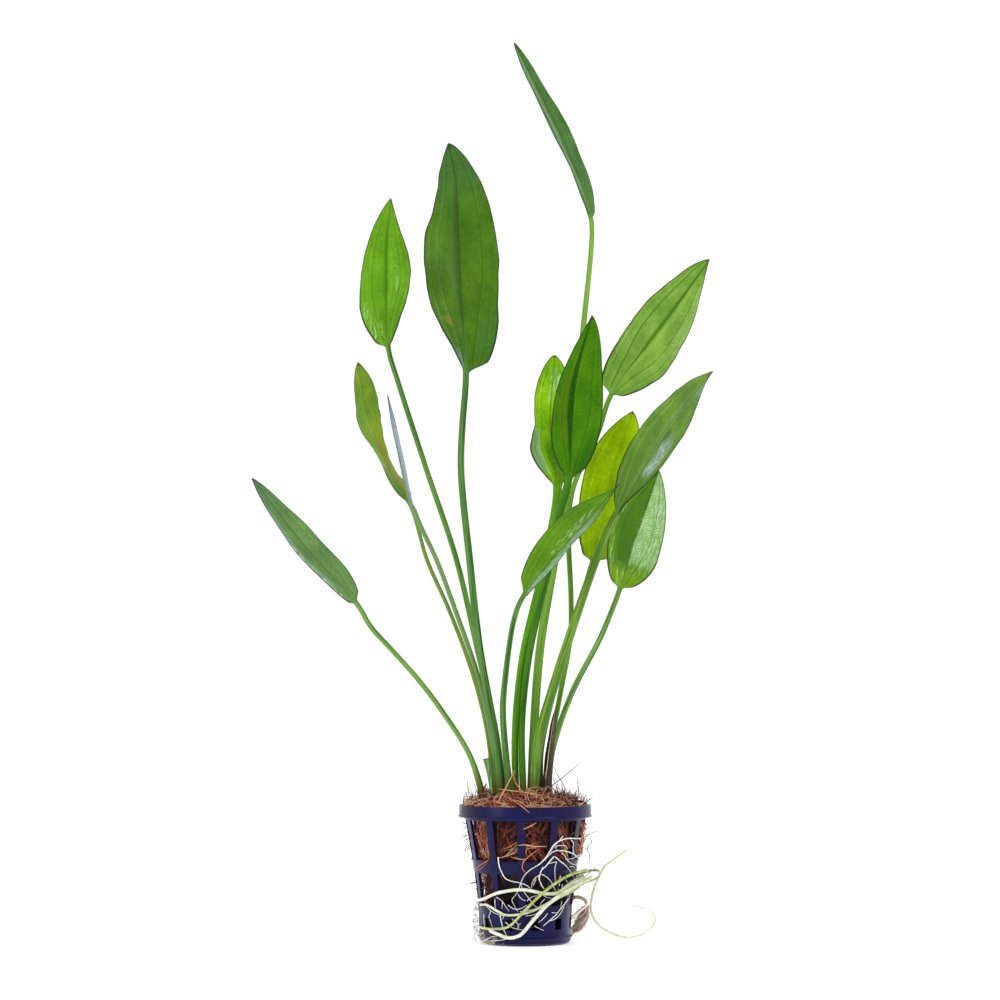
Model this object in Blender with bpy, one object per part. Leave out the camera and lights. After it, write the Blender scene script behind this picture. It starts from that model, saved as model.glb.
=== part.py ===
# Potted echinodorus: an amazon sword plant in a 50 mm net pot filled with coconut fibre.
#
# The values below are millimetres and degrees. +Z is up, -Y is the front, and the origin is the
# middle of the pot's flat underside. A turn round the pot is counted from the front towards +X.

import math

import bmesh
import bpy
from mathutils import Vector

MM = 0.001
FRONT = Vector((0.0, -1.0, 0.0))

# The pot: a moulded basket of ribs and bands, open between them.
WALL = 1.1
RIBS = 11
FIRST_RIB = -4.0
RIB_ANGLE = 8.0
SLOT_ANGLE = 10.8
POT_ROWS = [
    # outer radius, height, and what lies between this row and the next
    (5.0, 0.0, "slot"),
    (13.0, 0.0, "solid"),
    (15.6, 0.0, "solid"),
    (17.0, 0.8, "solid"),
    (17.6, 2.9, "solid"),
    (17.3, 5.9, "slot"),
    (17.5, 10.0, "solid"),
    (17.9, 14.8, "window"),
    (19.4, 26.8, "solid"),
    (20.2, 31.6, "window"),
    (22.9, 46.6, "solid"),
    (23.1, 47.5, "solid"),
    (25.1, 47.5, "solid"),
    (25.0, 52.0, "end"),
]

# The coconut fibre, and the crown that sits in a well in its top.
FIT = 0.5
PLUG_COLUMNS = 22
PLUG_LEVELS = [2.0, 9.0, 16.0, 26.0, 36.0, 45.5]
PLUG_TOP = [
    # radius and height of the top, from the rim to the well
    (21.6, 51.0),
    (19.8, 53.4),
]
PLUG_LUMP = 0.9
WELL_EDGE = 55.0
CROWN_CENTRE = (-2.5, -0.8)
CROWN_REACH = (16.0, 9.4)
CROWN_SIDES = 16
CROWN_LEVELS = [
    # height, and share of the reach there
    (42.0, 0.7),
    (47.0, 0.92),
    (53.0, 1.0),
    (55.6, 0.97),
]
STALK_FOOT = 56.8

# A leaf is one line from its foot through the neck, where the blade starts, to the tip. The foot is
# a place on the crown. A half of the blade is its width, where along the blade it is widest, and how
# pointed it is towards the base and towards the tip. turn is how far the blade's face is turned away
# from the front along its length, and fold is how far its halves are raised towards that face.
LEAVES = {
    "leaf_far_left": dict(
        foot=(-15.2, -2.2),
        stalk=[(-20.8, -3.5, 70.4), (-31.9, -7, 88.2), (-40.1, -10, 99.1), (-50, -13, 110.3),
               (-57.8, -15.5, 118.9)],
        neck=(-63, -17, 127.5),
        blade=[(-83.3, -22, 150.2), (-101.8, -25, 174.3)],
        thick=(2.8, 2.0, 1.9),
        left=(8.5, 0.41, 0.8, 1.35),
        right=(8.5, 0.27, 1.2, 1.6),
        turn=[54],
        fold=10,
        wave=(0.3, 2),
        colour="5f9a3a",
    ),
    "leaf_yellow_twisted": dict(
        foot=(-11.6, 1.2),
        stalk=[(-13.7, 1.5, 75.5), (-17.5, 3, 93.3), (-23, 6, 110.4), (-29.8, 9, 127.6), (-37.5, 13, 144.9)],
        neck=(-43.8, 18, 165.5),
        blade=[(-52.9, 22, 180), (-62.1, 28, 203.8), (-65.4, 31, 222.8)],
        thick=(2.2, 1.7, 1.5),
        left=(9.0, 0.55, 1.4, 1.6),
        right=(9.0, 0.6, 1.4, 1.6),
        turn=[60, 76, 58, 50],
        fold=5,
        wave=(0.6, 2),
        colour="8aa832",
    ),
    "leaf_edge_on": dict(
        foot=(-8.6, -0.4),
        stalk=[(-12.9, -0.6, 78.2), (-17.4, -1.6, 99), (-27.1, -5, 127.3), (-33.4, -8.5, 144.2)],
        neck=(-41.6, -12.5, 162.5),
        blade=[(-48.5, -17.5, 188.9), (-51.9, -21.5, 205.6)],
        thick=(2.2, 1.9, 1.7),
        left=(5.5, 0.5, 1.2, 1.6),
        right=(5.5, 0.5, 1.2, 1.6),
        turn=[82],
        fold=0,
        wave=(0.0, 1),
        colour="7f9f6a",
    ),
    "leaf_left_upright": dict(
        foot=(-8.6, 4.4),
        stalk=[(-10.6, 5.5, 76.2), (-18.1, 9, 110.4), (-26.2, 13.5, 144.9), (-37.9, 21, 180),
               (-49.5, 29, 215.6)],
        neck=(-53.2, 32, 228.4),
        blade=[(-54, 38, 256), (-53.9, 41, 274), (-53, 42, 288.5)],
        thick=(2.6, 2.2, 2.0),
        left=(10.8, 0.3, 1.35, 1.6),
        right=(10.0, 0.44, 1.9, 2.3),
        turn=[-15],
        fold=8,
        wave=(0.5, 2),
        colour="62a41a",
    ),
    "leaf_largest": dict(
        foot=(-9.2, -4.6),
        stalk=[(-11.2, -5, 76.5), (-17.1, -5, 110.4), (-21, -4, 144.4), (-24.3, -1.5, 178.6),
               (-23.8, 0.5, 195.9)],
        neck=(-22.5, 3, 215.6),
        blade=[(-24.3, 7, 245), (-25.4, 11, 270), (-26.5, 13, 291), (-29.6, 13, 306)],
        thick=(4.4, 2.9, 2.4),
        left=(14.2, 0.42, 2.2, 2.0),
        right=(15.1, 0.38, 0.72, 1.2),
        turn=[8],
        fold=8,
        wave=(0.6, 3),
        colour="477f2a",
    ),
    "leaf_tallest": dict(
        foot=(2.2, 1.4),
        stalk=[(3.2, 3, 76.3), (5.7, 6, 110.4), (11.2, 12, 142.9), (15.9, 17, 168.1), (23.1, 28.5, 237.1),
               (26.2, 33.5, 267)],
        neck=(26.5, 35.5, 278.4),
        blade=[(24.3, 37, 287.4), (17, 40, 307), (9.5, 42, 324), (-3.9, 43, 351)],
        thick=(3.4, 3.4, 1.9),
        left=(9.5, 0.5, 1.2, 1.6),
        right=(10.0, 0.38, 1.3, 1.15),
        turn=[70],
        fold=7.5,
        wave=(0.4, 2),
        colour="4f8f2a",
    ),
    "leaf_centre_front": dict(
        foot=(-0.6, -5.0),
        stalk=[(-1.3, -5, 78.3), (-0.4, -5.5, 93.4), (1.8, -7, 110.3), (8.9, -10.5, 142.3),
               (12.3, -12, 159.2)],
        neck=(16, -14, 173.4),
        blade=[(17.5, -16, 192.5), (19, -18, 210), (24.9, -21, 235.6)],
        thick=(2.7, 2.4, 3.0),
        left=(9.5, 0.3, 2.0, 2.8),
        right=(10.8, 0.37, 1.5, 1.25),
        turn=[20],
        fold=15,
        wave=(0.5, 2),
        colour="4c9210",
    ),
    "leaf_centre_back": dict(
        foot=(-3.5, -2.0),
        stalk=[(-3.8, -2.5, 78.3), (-2.8, -2.5, 93.4), (-0.4, -2.5, 110.4), (7.2, -0.5, 142.6)],
        neck=(11.3, 3, 171.6),
        blade=[(9.6, 5, 187), (9.8, 6.5, 203), (12.4, 8, 223.4)],
        thick=(2.7, 2.3, 3.0),
        left=(7.2, 0.35, 2.0, 1.2),
        right=(9.8, 0.5, 1.5, 1.3),
        turn=[-10],
        fold=8,
        wave=(0.6, 2),
        colour="5a9c1c",
    ),
    "leaf_right_upper": dict(
        foot=(7.2, 4.6),
        stalk=[(9.1, 4.6, 70.5), (13.4, 7, 93.3), (17.5, 12, 116.1), (17.8, 15, 129.6), (17, 21, 160.6),
               (19.2, 23, 174.3), (28.2, 27, 193.6)],
        neck=(33.8, 30, 209.8),
        blade=[(46.9, 34, 228.2), (57.7, 37, 242.7), (72.8, 39.5, 263.9)],
        thick=(2.4, 2.0, 2.0),
        left=(10.2, 0.42, 0.95, 1.4),
        right=(12.7, 0.34, 1.5, 2.6),
        turn=[15],
        fold=-8,
        wave=(0.5, 2),
        colour="7cb040",
    ),
    "leaf_right_long": dict(
        foot=(3.0, -4.0),
        stalk=[(5.2, -6, 76.5), (11.4, -10, 99.1), (18.6, -16, 121.5), (26.3, -22, 143.8),
               (35, -28.5, 164.4)],
        neck=(38.7, -30, 168.4),
        blade=[(43, -33, 177.5), (54.6, -38, 194.9), (68.8, -42, 212.7)],
        thick=(3.3, 3.8, 2.6),
        left=(11.7, 0.3, 0.7, 1.9),
        right=(12.6, 0.5, 1.4, 3.3),
        turn=[-48],
        fold=11,
        wave=(0.5, 2),
        colour="66903a",
    ),
    "leaf_right_yellow": dict(
        foot=(6.0, 0.6),
        stalk=[(6, 1, 72.1), (12.2, 3, 99), (19.5, 7, 121.8), (25, 13, 141.1)],
        neck=(26.2, 14, 144.9),
        blade=[(31.8, 19, 172), (36.5, 21, 187.7), (42, 22, 203)],
        thick=(2.6, 2.2, 2.0),
        left=(10.4, 0.55, 1.4, 1.8),
        right=(11.6, 0.5, 1.2, 1.6),
        turn=[-15],
        fold=6,
        wave=(0.5, 2),
        colour="86a814",
    ),
    "leaf_right_lower": dict(
        foot=(8.8, -0.4),
        stalk=[(10, -0.4, 70.7), (17.4, 0, 93.3), (29, 0.5, 116)],
        neck=(36, 2, 133.5),
        blade=[(40.7, 1, 149.5), (44.4, 0, 160), (50.8, -2, 178.6)],
        thick=(2.4, 2.3, 2.0),
        left=(10.4, 0.53, 0.9, 3.0),
        right=(11.7, 0.3, 1.3, 1.7),
        turn=[-5],
        fold=18,
        wave=(0.4, 2),
        colour="5aa018",
    ),
    "leaf_front_low": dict(
        foot=(-5.4, -6.4),
        stalk=[(-7.8, -8.5, 76.6), (-8.4, -10.5, 87.8), (-7.6, -14, 99.1), (-4.3, -21.5, 121.5)],
        neck=(-1.3, -25, 131.5),
        blade=[(13.4, -33, 147.5), (21.8, -37, 157), (34.4, -44, 171)],
        thick=(3.0, 2.6, 1.9),
        left=(11.0, 0.46, 1.4, 3.0),
        right=(11.0, 0.57, 0.9, 3.0),
        turn=[-57],
        fold=19,
        wave=(0.4, 2),
        colour="5aa018",
    ),
}
LINE_STEPS = 16
STALK_RINGS = 9
BLADE_RINGS = 13
BLADE_THICK = 0.8
ACROSS = (-1.0, -0.52, 0.0, 0.52, 1.0)
NECK_SHARE = 0.09
FOOT_SHARE = 0.25
RIB_TAPER = 0.8
KEEL = 0.8

# What is left of older leaves: a cut stub, and a dead sheath that stands round two stalks.
STUB_LINE = [(-12.7, -7.6, 56.8), (-13.5, -7.6, 63.0), (-14.7, -7.4, 69.6)]
STUB_WIDTHS = [0.9, 1.1, 1.3]
STUB_FLAT = 0.7
SHEATH_LINE = [(8.2, -3.3, 56.8), (9.2, -3.2, 71.0), (11.8, -3.8, 90.5)]
SHEATH_WIDTHS = [1.7, 1.9, 1.5, 0.8]
SHEATH_RINGS = 8
SHEATH_THICK = 0.6
SHEATH_CURL = 0.7

# Thick roots. Each point is a turn round the pot, a radius and a height, from the fibre outwards,
# and the root's own radius runs from the first figure to the second.
ROOT_SIDES = 6
ROOT_RINGS = 18
ROOTS = {
    "root_wrap_upper": dict(
        line=[(103, 18.2, 23.6), (101, 20.4, 24.0), (90, 21.3, 24.6), (76, 21.0, 24.6), (54, 20.3, 22.8),
              (37, 19.8, 19.9), (20, 19.8, 19.9), (-3, 20.0, 21.4), (-31, 19.8, 20.0), (-53, 19.5, 17.4),
              (-75, 19.3, 16.3), (-98, 19.3, 16.0)],
        radius=(0.8, 0.45),
        colour="e6ead2",
    ),
    "root_wrap_middle": dict(
        line=[(103, 18.2, 19.6), (100, 20.0, 20.2), (84, 20.2, 20.8), (63, 19.8, 20.1), (31, 19.4, 17.0),
              (15, 19.1, 14.5), (0, 18.9, 12.6), (-22, 18.8, 11.8), (-34, 18.9, 13.2), (-49, 19.0, 15.2),
              (-64, 19.0, 15.0)],
        radius=(0.6, 0.4),
        colour="dfe6c0",
    ),
    "root_wrap_lower": dict(
        line=[(111, 18.2, 24.4), (107, 21.5, 25.6), (90, 23.4, 27.2), (67, 23.2, 27.6), (52, 22.8, 27.0),
              (36, 22.2, 24.9), (16, 21.8, 19.9), (-1, 21.0, 13.7), (-19, 19.6, 7.6), (-39, 18.8, 6.4),
              (-56, 18.8, 6.4), (-80, 18.6, 6.8)],
        radius=(0.65, 0.4),
        colour="d6dc9c",
    ),
    "root_wrap_thick": dict(
        line=[(111, 18.2, 20.2), (107, 21.6, 21.4), (92, 24.4, 24.2), (76, 24.4, 24.4), (61, 23.6, 23.4),
              (43, 22.6, 20.6), (22, 21.8, 15.9), (7, 21.2, 9.9), (-6, 20.8, 4.6), (-18, 20.8, 3.6),
              (-29, 20.8, 4.7), (-41, 20.8, 6.0)],
        radius=(0.95, 0.5),
        colour="dde3b4",
    ),
    "root_loose_curl": dict(
        line=[(117, 18.2, 24.4), (112, 24.0, 26.0), (101, 27.6, 26.9), (91, 28.4, 26.2), (84, 27.0, 23.0),
              (80, 25.6, 18.0), (80, 25.2, 12.6), (81, 27.4, 7.6), (83, 33.6, 3.6), (84, 40.0, 2.4),
              (86, 46.0, 4.6), (86, 49.0, 8.5), (85, 46.6, 12.8), (84, 40.8, 14.2)],
        radius=(0.65, 0.35),
        colour="e2e8c4",
    ),
    "root_thin_right": dict(
        line=[(117, 18.2, 20.6), (116, 24.0, 21.4), (107, 29.0, 24.0), (97, 30.4, 28.4), (92, 35.7, 32.8),
              (90, 39.2, 35.1)],
        radius=(0.5, 0.3),
        colour="d9dfa6",
    ),
    "root_back_brown": dict(
        line=[(105, 18.2, 16.4), (104, 20.5, 16.8), (103, 23.0, 15.9)],
        radius=(0.7, 0.7),
        colour="a98d74",
    ),
    "root_back_pale": dict(
        line=[(112, 17.0, 8.2), (110, 19.0, 9.0), (103, 21.4, 11.8)],
        radius=(0.7, 0.6),
        colour="cfc8b4",
    ),
}
TAIL_LINE = [(23.4, 7.0, 13.6), (23.0, 7.8, 10.4), (20.4, 9.4, 5.8), (17.6, 11.0, 2.2)]
TAIL_WIDTHS = [1.2, 2.0, 2.1, 0.8]
FINE_SIDES = 8


def clear_scene():
    for obj in list(bpy.data.objects):
        bpy.data.objects.remove(obj, do_unlink=True)


def linear(hex_colour):
    values = [int(hex_colour[i:i + 2], 16) / 255.0 for i in (0, 2, 4)]
    return [v / 12.92 if v <= 0.04045 else ((v + 0.055) / 1.055) ** 2.4 for v in values] + [1.0]


def finish(name, bm, hex_colour, roughness, smooth=True):
    # Closes a bmesh in millimetres off as an object in metres, with a material of its own.
    bmesh.ops.recalc_face_normals(bm, faces=bm.faces)
    bmesh.ops.scale(bm, vec=(MM, MM, MM), verts=bm.verts)
    mesh = bpy.data.meshes.new(name)
    bm.to_mesh(mesh)
    bm.free()
    if smooth:
        mesh.shade_smooth()
        mesh.set_sharp_from_angle(angle=math.radians(40))
    material = bpy.data.materials.new(name)
    material.use_nodes = True
    shader = material.node_tree.nodes["Principled BSDF"]
    shader.inputs["Base Color"].default_value = linear(hex_colour)
    shader.inputs["Roughness"].default_value = roughness
    shader.inputs["Metallic"].default_value = 0.0
    mesh.materials.append(material)
    obj = bpy.data.objects.new(name, mesh)
    bpy.context.collection.objects.link(obj)
    return obj


def around(turn, radius, height):
    angle = math.radians(turn)
    return Vector((radius * math.sin(angle), -radius * math.cos(angle), height))


def blend(a, b, share):
    return a + (b - a) * share


def ease(x):
    x = min(max(x, 0.0), 1.0)
    return x * x * (3.0 - 2.0 * x)


def smooth_line(points):
    # A Catmull-Rom curve through the points, which passes them evenly where they are uneven.
    points = [Vector(p) for p in points]
    first = points[0] * 2.0 - points[1]
    last = points[-1] * 2.0 - points[-2]
    ends = [first] + points + [last]
    line = [points[0]]
    for i in range(1, len(ends) - 2):
        p = ends[i - 1:i + 3]
        t = [0.0]
        for a, b in zip(p, p[1:]):
            t.append(t[-1] + max((b - a).length, 1e-6) ** 0.5)
        for step in range(1, LINE_STEPS + 1):
            x = blend(t[1], t[2], step / LINE_STEPS)
            a1 = p[0] * ((t[1] - x) / (t[1] - t[0])) + p[1] * ((x - t[0]) / (t[1] - t[0]))
            a2 = p[1] * ((t[2] - x) / (t[2] - t[1])) + p[2] * ((x - t[1]) / (t[2] - t[1]))
            a3 = p[2] * ((t[3] - x) / (t[3] - t[2])) + p[3] * ((x - t[2]) / (t[3] - t[2]))
            b1 = a1 * ((t[2] - x) / (t[2] - t[0])) + a2 * ((x - t[0]) / (t[2] - t[0]))
            b2 = a2 * ((t[3] - x) / (t[3] - t[1])) + a3 * ((x - t[1]) / (t[3] - t[1]))
            line.append(b1 * ((t[2] - x) / (t[2] - t[1])) + b2 * ((x - t[1]) / (t[2] - t[1])))
    return line


def lengths_along(line):
    lengths = [0.0]
    for a, b in zip(line, line[1:]):
        lengths.append(lengths[-1] + (b - a).length)
    return lengths


def place_on(line, lengths, distance):
    # The point and the direction of a line at a distance from its start.
    i = 1
    while i < len(line) - 1 and lengths[i] < distance:
        i += 1
    share = (distance - lengths[i - 1]) / (lengths[i] - lengths[i - 1])
    before = line[max(i - 2, 0)]
    after = line[min(i + 1, len(line) - 1)]
    return blend(line[i - 1], line[i], share), (after - before).normalized()


def value_along(values, share):
    # Evenly spaced values, read at a share of the way with a soft turn at each.
    if len(values) == 1:
        return values[0]
    x = min(max(share, 0.0), 1.0) * (len(values) - 1)
    i = min(int(x), len(values) - 2)
    return blend(values[i], values[i + 1], ease(x - i))


def loft(rings, apex=None):
    # A closed body through rings with the same number of points, flat at its ends or with a tip.
    bm = bmesh.new()
    rows = [[bm.verts.new(p) for p in ring] for ring in rings]
    count = len(rows[0])
    for lower, upper in zip(rows, rows[1:]):
        for i in range(count):
            j = (i + 1) % count
            bm.faces.new((lower[i], lower[j], upper[j], upper[i]))
    bm.faces.new(reversed(rows[0]))
    if apex is None:
        bm.faces.new(rows[-1])
    else:
        tip = bm.verts.new(apex)
        for i in range(count):
            bm.faces.new((rows[-1][i], rows[-1][(i + 1) % count], tip))
    return bm


def tube(points, widths, sides, rings, flat=1.0):
    # A round or flattened tube along a line; its cross-section is carried along without a twist.
    line = smooth_line(points)
    lengths = lengths_along(line)
    side = None
    sections = []
    for k in range(rings):
        share = k / (rings - 1)
        centre, ahead = place_on(line, lengths, lengths[-1] * share)
        if side is None:
            side = ahead.cross(FRONT)
        side = (side - ahead * side.dot(ahead)).normalized()
        other = side.cross(ahead)
        radius = value_along(widths, share)
        ring = []
        for i in range(sides):
            angle = math.tau * i / sides
            across = side * (radius * math.cos(angle))
            ring.append(centre + across + other * (radius * flat * math.sin(angle)))
        sections.append(ring)
    return loft(sections)


def half_width(half, u):
    width, widest, base_point, tip_point = half
    if u < widest:
        x = u / widest
        power = base_point / 2.0
    else:
        x = (1.0 - u) / (1.0 - widest)
        power = tip_point / 2.0
    return width * max(x * (2.0 - x), 0.0) ** power


def leaf_section(leaf, centre, ahead, v, u):
    # One ring of a leaf: round on the stalk (v runs 0 to 1), a thin folded blade beyond (u, 0 to 1).
    turn = math.radians(value_along(leaf["turn"], u))
    across = ahead.cross(FRONT).normalized()
    face = across.cross(ahead)
    side = across * math.cos(turn) - face * math.sin(turn)
    face = side.cross(ahead)
    foot, middle, neck = [d / 2.0 for d in leaf["thick"]]
    if v < FOOT_SHARE:
        radius = blend(foot, middle, ease(v / FOOT_SHARE))
    else:
        radius = blend(middle, neck, (v - FOOT_SHARE) / (1.0 - FOOT_SHARE))
    rib = radius * max(1.0 - u, 0.0) ** RIB_TAPER
    flat = ease(u / NECK_SHARE)
    height, waves = leaf["wave"]
    fold = math.radians(leaf["fold"]) * flat
    top = []
    under = []
    for c in ACROSS:
        half = leaf["left"] if c < 0 else leaf["right"]
        width = math.hypot(half_width(half, u), rib)
        reach = blend(radius * math.sin(c * math.pi / 2), width * c, flat)
        ripple = height * math.sin(math.tau * waves * u + c) * c * c * math.sin(math.pi * u)
        lift = abs(reach) * math.sin(fold) + ripple
        middle_line = centre + side * (reach * math.cos(fold)) + face * lift
        bulge = radius * math.cos(c * math.pi / 2)
        skin = BLADE_THICK / 2.0 * (1.0 - c * c)
        keel = skin + (rib * KEEL if c == 0 else 0.0)
        top.append(middle_line + face * blend(bulge, skin, flat))
        under.append(middle_line - face * blend(bulge, keel, flat))
    return top + under[-2:0:-1]


def make_leaf(name, leaf):
    foot = leaf["foot"] + (STALK_FOOT,)
    stalk = [foot] + leaf["stalk"] + [leaf["neck"]]
    line = smooth_line(stalk + leaf["blade"])
    lengths = lengths_along(line)
    neck_at = lengths[LINE_STEPS * (len(stalk) - 1)]
    blade_length = lengths[-1] - neck_at
    rings = []
    for k in range(STALK_RINGS):
        v = k / STALK_RINGS
        centre, ahead = place_on(line, lengths, neck_at * v)
        rings.append(leaf_section(leaf, centre, ahead, v, 0.0))
    for k in range(BLADE_RINGS):
        u = (1.0 - math.cos(math.pi * k / BLADE_RINGS)) / 2.0
        centre, ahead = place_on(line, lengths, neck_at + blade_length * u)
        rings.append(leaf_section(leaf, centre, ahead, 1.0, u))
    finish(name, loft(rings, apex=line[-1]), leaf["colour"], 0.3)


def inner_row(i):
    # The inside of a pot row: its outside moved in by the wall, square to the profile there.
    def normal(a, b):
        d = Vector((b[0] - a[0], b[1] - a[1])).normalized()
        return Vector((-d.y, d.x))
    before = normal(POT_ROWS[i - 1], POT_ROWS[i]) if i > 0 else normal(POT_ROWS[0], POT_ROWS[1])
    after = normal(POT_ROWS[i], POT_ROWS[i + 1]) if i < len(POT_ROWS) - 1 else Vector((-1.0, 0.0))
    move = (before + after) / (1.0 + before.dot(after)) * WALL
    return POT_ROWS[i][0] + move.x, POT_ROWS[i][1] + move.y


def pot_columns():
    # The turns at which the ribs, windows and slots start, and which column is which.
    pitch = 360.0 / RIBS
    window = pitch - RIB_ANGLE
    side = (window - SLOT_ANGLE) / 2.0
    columns = []
    for rib in range(RIBS):
        start = FIRST_RIB + pitch * rib - RIB_ANGLE / 2.0
        columns.append((start, "rib"))
        columns.append((start + RIB_ANGLE, "beside"))
        columns.append((start + RIB_ANGLE + side, "slot"))
        columns.append((start + RIB_ANGLE + side + SLOT_ANGLE, "beside"))
    return columns


def make_pot():
    columns = pot_columns()
    count = len(columns)
    bm = bmesh.new()
    outer = []
    inner = []
    for i, (radius, height, _) in enumerate(POT_ROWS):
        inner_radius, inner_height = inner_row(i)
        outer.append([bm.verts.new(around(turn, radius, height)) for turn, _ in columns])
        inner.append([bm.verts.new(around(turn, inner_radius, inner_height)) for turn, _ in columns])

    def is_open(row, column):
        kind = POT_ROWS[row][2]
        place = columns[column][1]
        return (kind == "window" and place != "rib") or (kind == "slot" and place == "slot")

    last = len(POT_ROWS) - 1
    for row in range(last):
        for column in range(count):
            if is_open(row, column):
                continue
            after = (column + 1) % count
            corners = [(row, column), (row, after), (row + 1, after), (row + 1, column)]
            bm.faces.new([outer[r][c] for r, c in corners])
            bm.faces.new([inner[r][c] for r, c in reversed(corners)])
            beside = [
                (row > 0 and is_open(row - 1, column)),
                is_open(row, after),
                (row + 1 < last and is_open(row + 1, column)),
                is_open(row, column - 1 if column else count - 1),
            ]
            for side, gap in enumerate(beside):
                if gap:
                    (r1, c1), (r2, c2) = corners[side], corners[(side + 1) % 4]
                    bm.faces.new((outer[r1][c1], inner[r1][c1], inner[r2][c2], outer[r2][c2]))
    for column in range(count):
        after = (column + 1) % count
        bm.faces.new((outer[last][column], outer[last][after], inner[last][after], inner[last][column]))
        if is_open(0, column):
            bm.faces.new((outer[0][column], outer[0][after], inner[0][after], inner[0][column]))
    bm.faces.new(outer[0])
    bm.faces.new(inner[0])
    finish("pot", bm, "23264d", 0.35)


def oval(centre, reach, height, count, lump=0.0):
    ring = []
    for i in range(count):
        angle = math.tau * i / count
        wobble = lump * math.sin(3 * angle + height) * math.sin(5 * angle + 1.0)
        x = centre[0] + reach[0] * math.cos(angle)
        y = centre[1] + reach[1] * math.sin(angle)
        ring.append(Vector((x, y, height + wobble)))
    return ring


def pot_inside(height):
    # The radius of the pot's inside at a height.
    rows = [inner_row(i) for i in range(len(POT_ROWS))]
    for (r1, z1), (r2, z2) in zip(rows, rows[1:]):
        if z1 <= height <= z2 and z2 > z1:
            return blend(r1, r2, (height - z1) / (z2 - z1))
    return rows[-1][0]


def make_plug():
    middle = (0.0, 0.0)
    rings = []
    for height in PLUG_LEVELS:
        radius = pot_inside(height) - FIT
        rings.append(oval(middle, (radius, radius), height, PLUG_COLUMNS))
    for radius, height in PLUG_TOP:
        rings.append(oval(middle, (radius, radius), height, PLUG_COLUMNS, PLUG_LUMP))
    well = [reach + FIT for reach in CROWN_REACH]
    rings.append(oval(CROWN_CENTRE, well, WELL_EDGE, PLUG_COLUMNS, PLUG_LUMP))
    rings.append(oval(CROWN_CENTRE, well, CROWN_LEVELS[0][0] - FIT, PLUG_COLUMNS))
    finish("coir_plug", loft(rings), "7a3d20", 0.9)


def make_crown():
    rings = []
    for height, share in CROWN_LEVELS:
        reach = [r * share for r in CROWN_REACH]
        rings.append(oval(CROWN_CENTRE, reach, height, CROWN_SIDES))
    finish("crown", loft(rings), "6b6a3a", 0.7)


def make_sheath():
    # A dead sheath: a strip, curled round the stalks behind it and torn thin at its top.
    line = smooth_line(SHEATH_LINE)
    lengths = lengths_along(line)
    rings = []
    for k in range(SHEATH_RINGS):
        share = k / (SHEATH_RINGS - 1)
        centre, ahead = place_on(line, lengths, lengths[-1] * share)
        side = ahead.cross(FRONT).normalized()
        face = side.cross(ahead)
        width = value_along(SHEATH_WIDTHS, share)
        front = []
        back = []
        for c in ACROSS:
            spot = centre + side * (width * c) - face * (SHEATH_CURL * c * c)
            thick = SHEATH_THICK / 2.0 * (1.0 - 0.5 * c * c)
            front.append(spot + face * thick)
            back.append(spot - face * thick)
        rings.append(front + back[::-1])
    finish("old_sheath", loft(rings), "4a2f1e", 0.6)


def make_roots():
    for name, root in ROOTS.items():
        points = [around(*point) for point in root["line"]]
        rings = ROOT_RINGS if len(points) > 6 else ROOT_RINGS // 3
        finish(name, tube(points, root["radius"], ROOT_SIDES, rings), root["colour"], 0.35)


clear_scene()
make_pot()
make_plug()
make_crown()
for leaf_name, leaf_values in LEAVES.items():
    make_leaf(leaf_name, leaf_values)
finish("cut_leaf_stub", tube(STUB_LINE, STUB_WIDTHS, FINE_SIDES, 4, flat=STUB_FLAT), "8fb04a", 0.4)
make_sheath()
make_roots()
finish("coir_tail", tube(TAIL_LINE, TAIL_WIDTHS, FINE_SIDES, 7), "8a5a40", 0.9)
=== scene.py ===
# An amazon sword in a small net pot of coconut fibre, on a pale studio floor.
# Lengths are millimetres and angles degrees until a mesh is made; the frame itself is in metres.
# A turn round the pot is counted from the front (-Y) towards +X, as in the frame.

import math
import random
from functools import partial

import bmesh
import bpy
import numpy as np
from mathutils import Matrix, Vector, noise


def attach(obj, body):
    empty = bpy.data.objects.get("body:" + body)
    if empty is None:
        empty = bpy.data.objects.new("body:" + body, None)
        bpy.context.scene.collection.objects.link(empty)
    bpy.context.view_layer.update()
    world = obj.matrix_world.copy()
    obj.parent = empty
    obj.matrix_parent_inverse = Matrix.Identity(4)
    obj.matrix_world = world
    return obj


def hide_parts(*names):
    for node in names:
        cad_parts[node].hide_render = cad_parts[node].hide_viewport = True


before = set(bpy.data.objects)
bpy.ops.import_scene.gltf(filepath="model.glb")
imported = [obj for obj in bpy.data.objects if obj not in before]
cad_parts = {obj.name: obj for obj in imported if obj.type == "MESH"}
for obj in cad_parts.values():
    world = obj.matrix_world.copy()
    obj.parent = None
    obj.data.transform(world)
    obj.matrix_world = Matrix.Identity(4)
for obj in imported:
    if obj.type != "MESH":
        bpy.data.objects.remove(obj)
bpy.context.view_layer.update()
mm = 0.001
front = Vector((0.0, -1.0, 0.0))
print("frame loaded:", len(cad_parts), "nodes")


# Small tools

def linear(hexColour):
    values = [int(hexColour[i:i + 2], 16) / 255.0 for i in (0, 2, 4)]
    return [v / 12.92 if v <= 0.04045 else ((v + 0.055) / 1.055) ** 2.4 for v in values] + [1.0]


def addNode(nodeTree, kind, inputs=None, **settings):
    # inputs: a socket's name or number, and for it a value, another node's output, or another node,
    # which stands for its first output
    node = nodeTree.nodes.new("ShaderNode" + kind)
    for key, value in settings.items():
        setattr(node, key, value)
    for key, value in (inputs or {}).items():
        source = value.outputs[0] if isinstance(value, bpy.types.Node) else value
        if isinstance(source, bpy.types.NodeSocket):
            nodeTree.links.new(source, node.inputs[key])
        else:
            node.inputs[key].default_value = value
    return node


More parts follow.
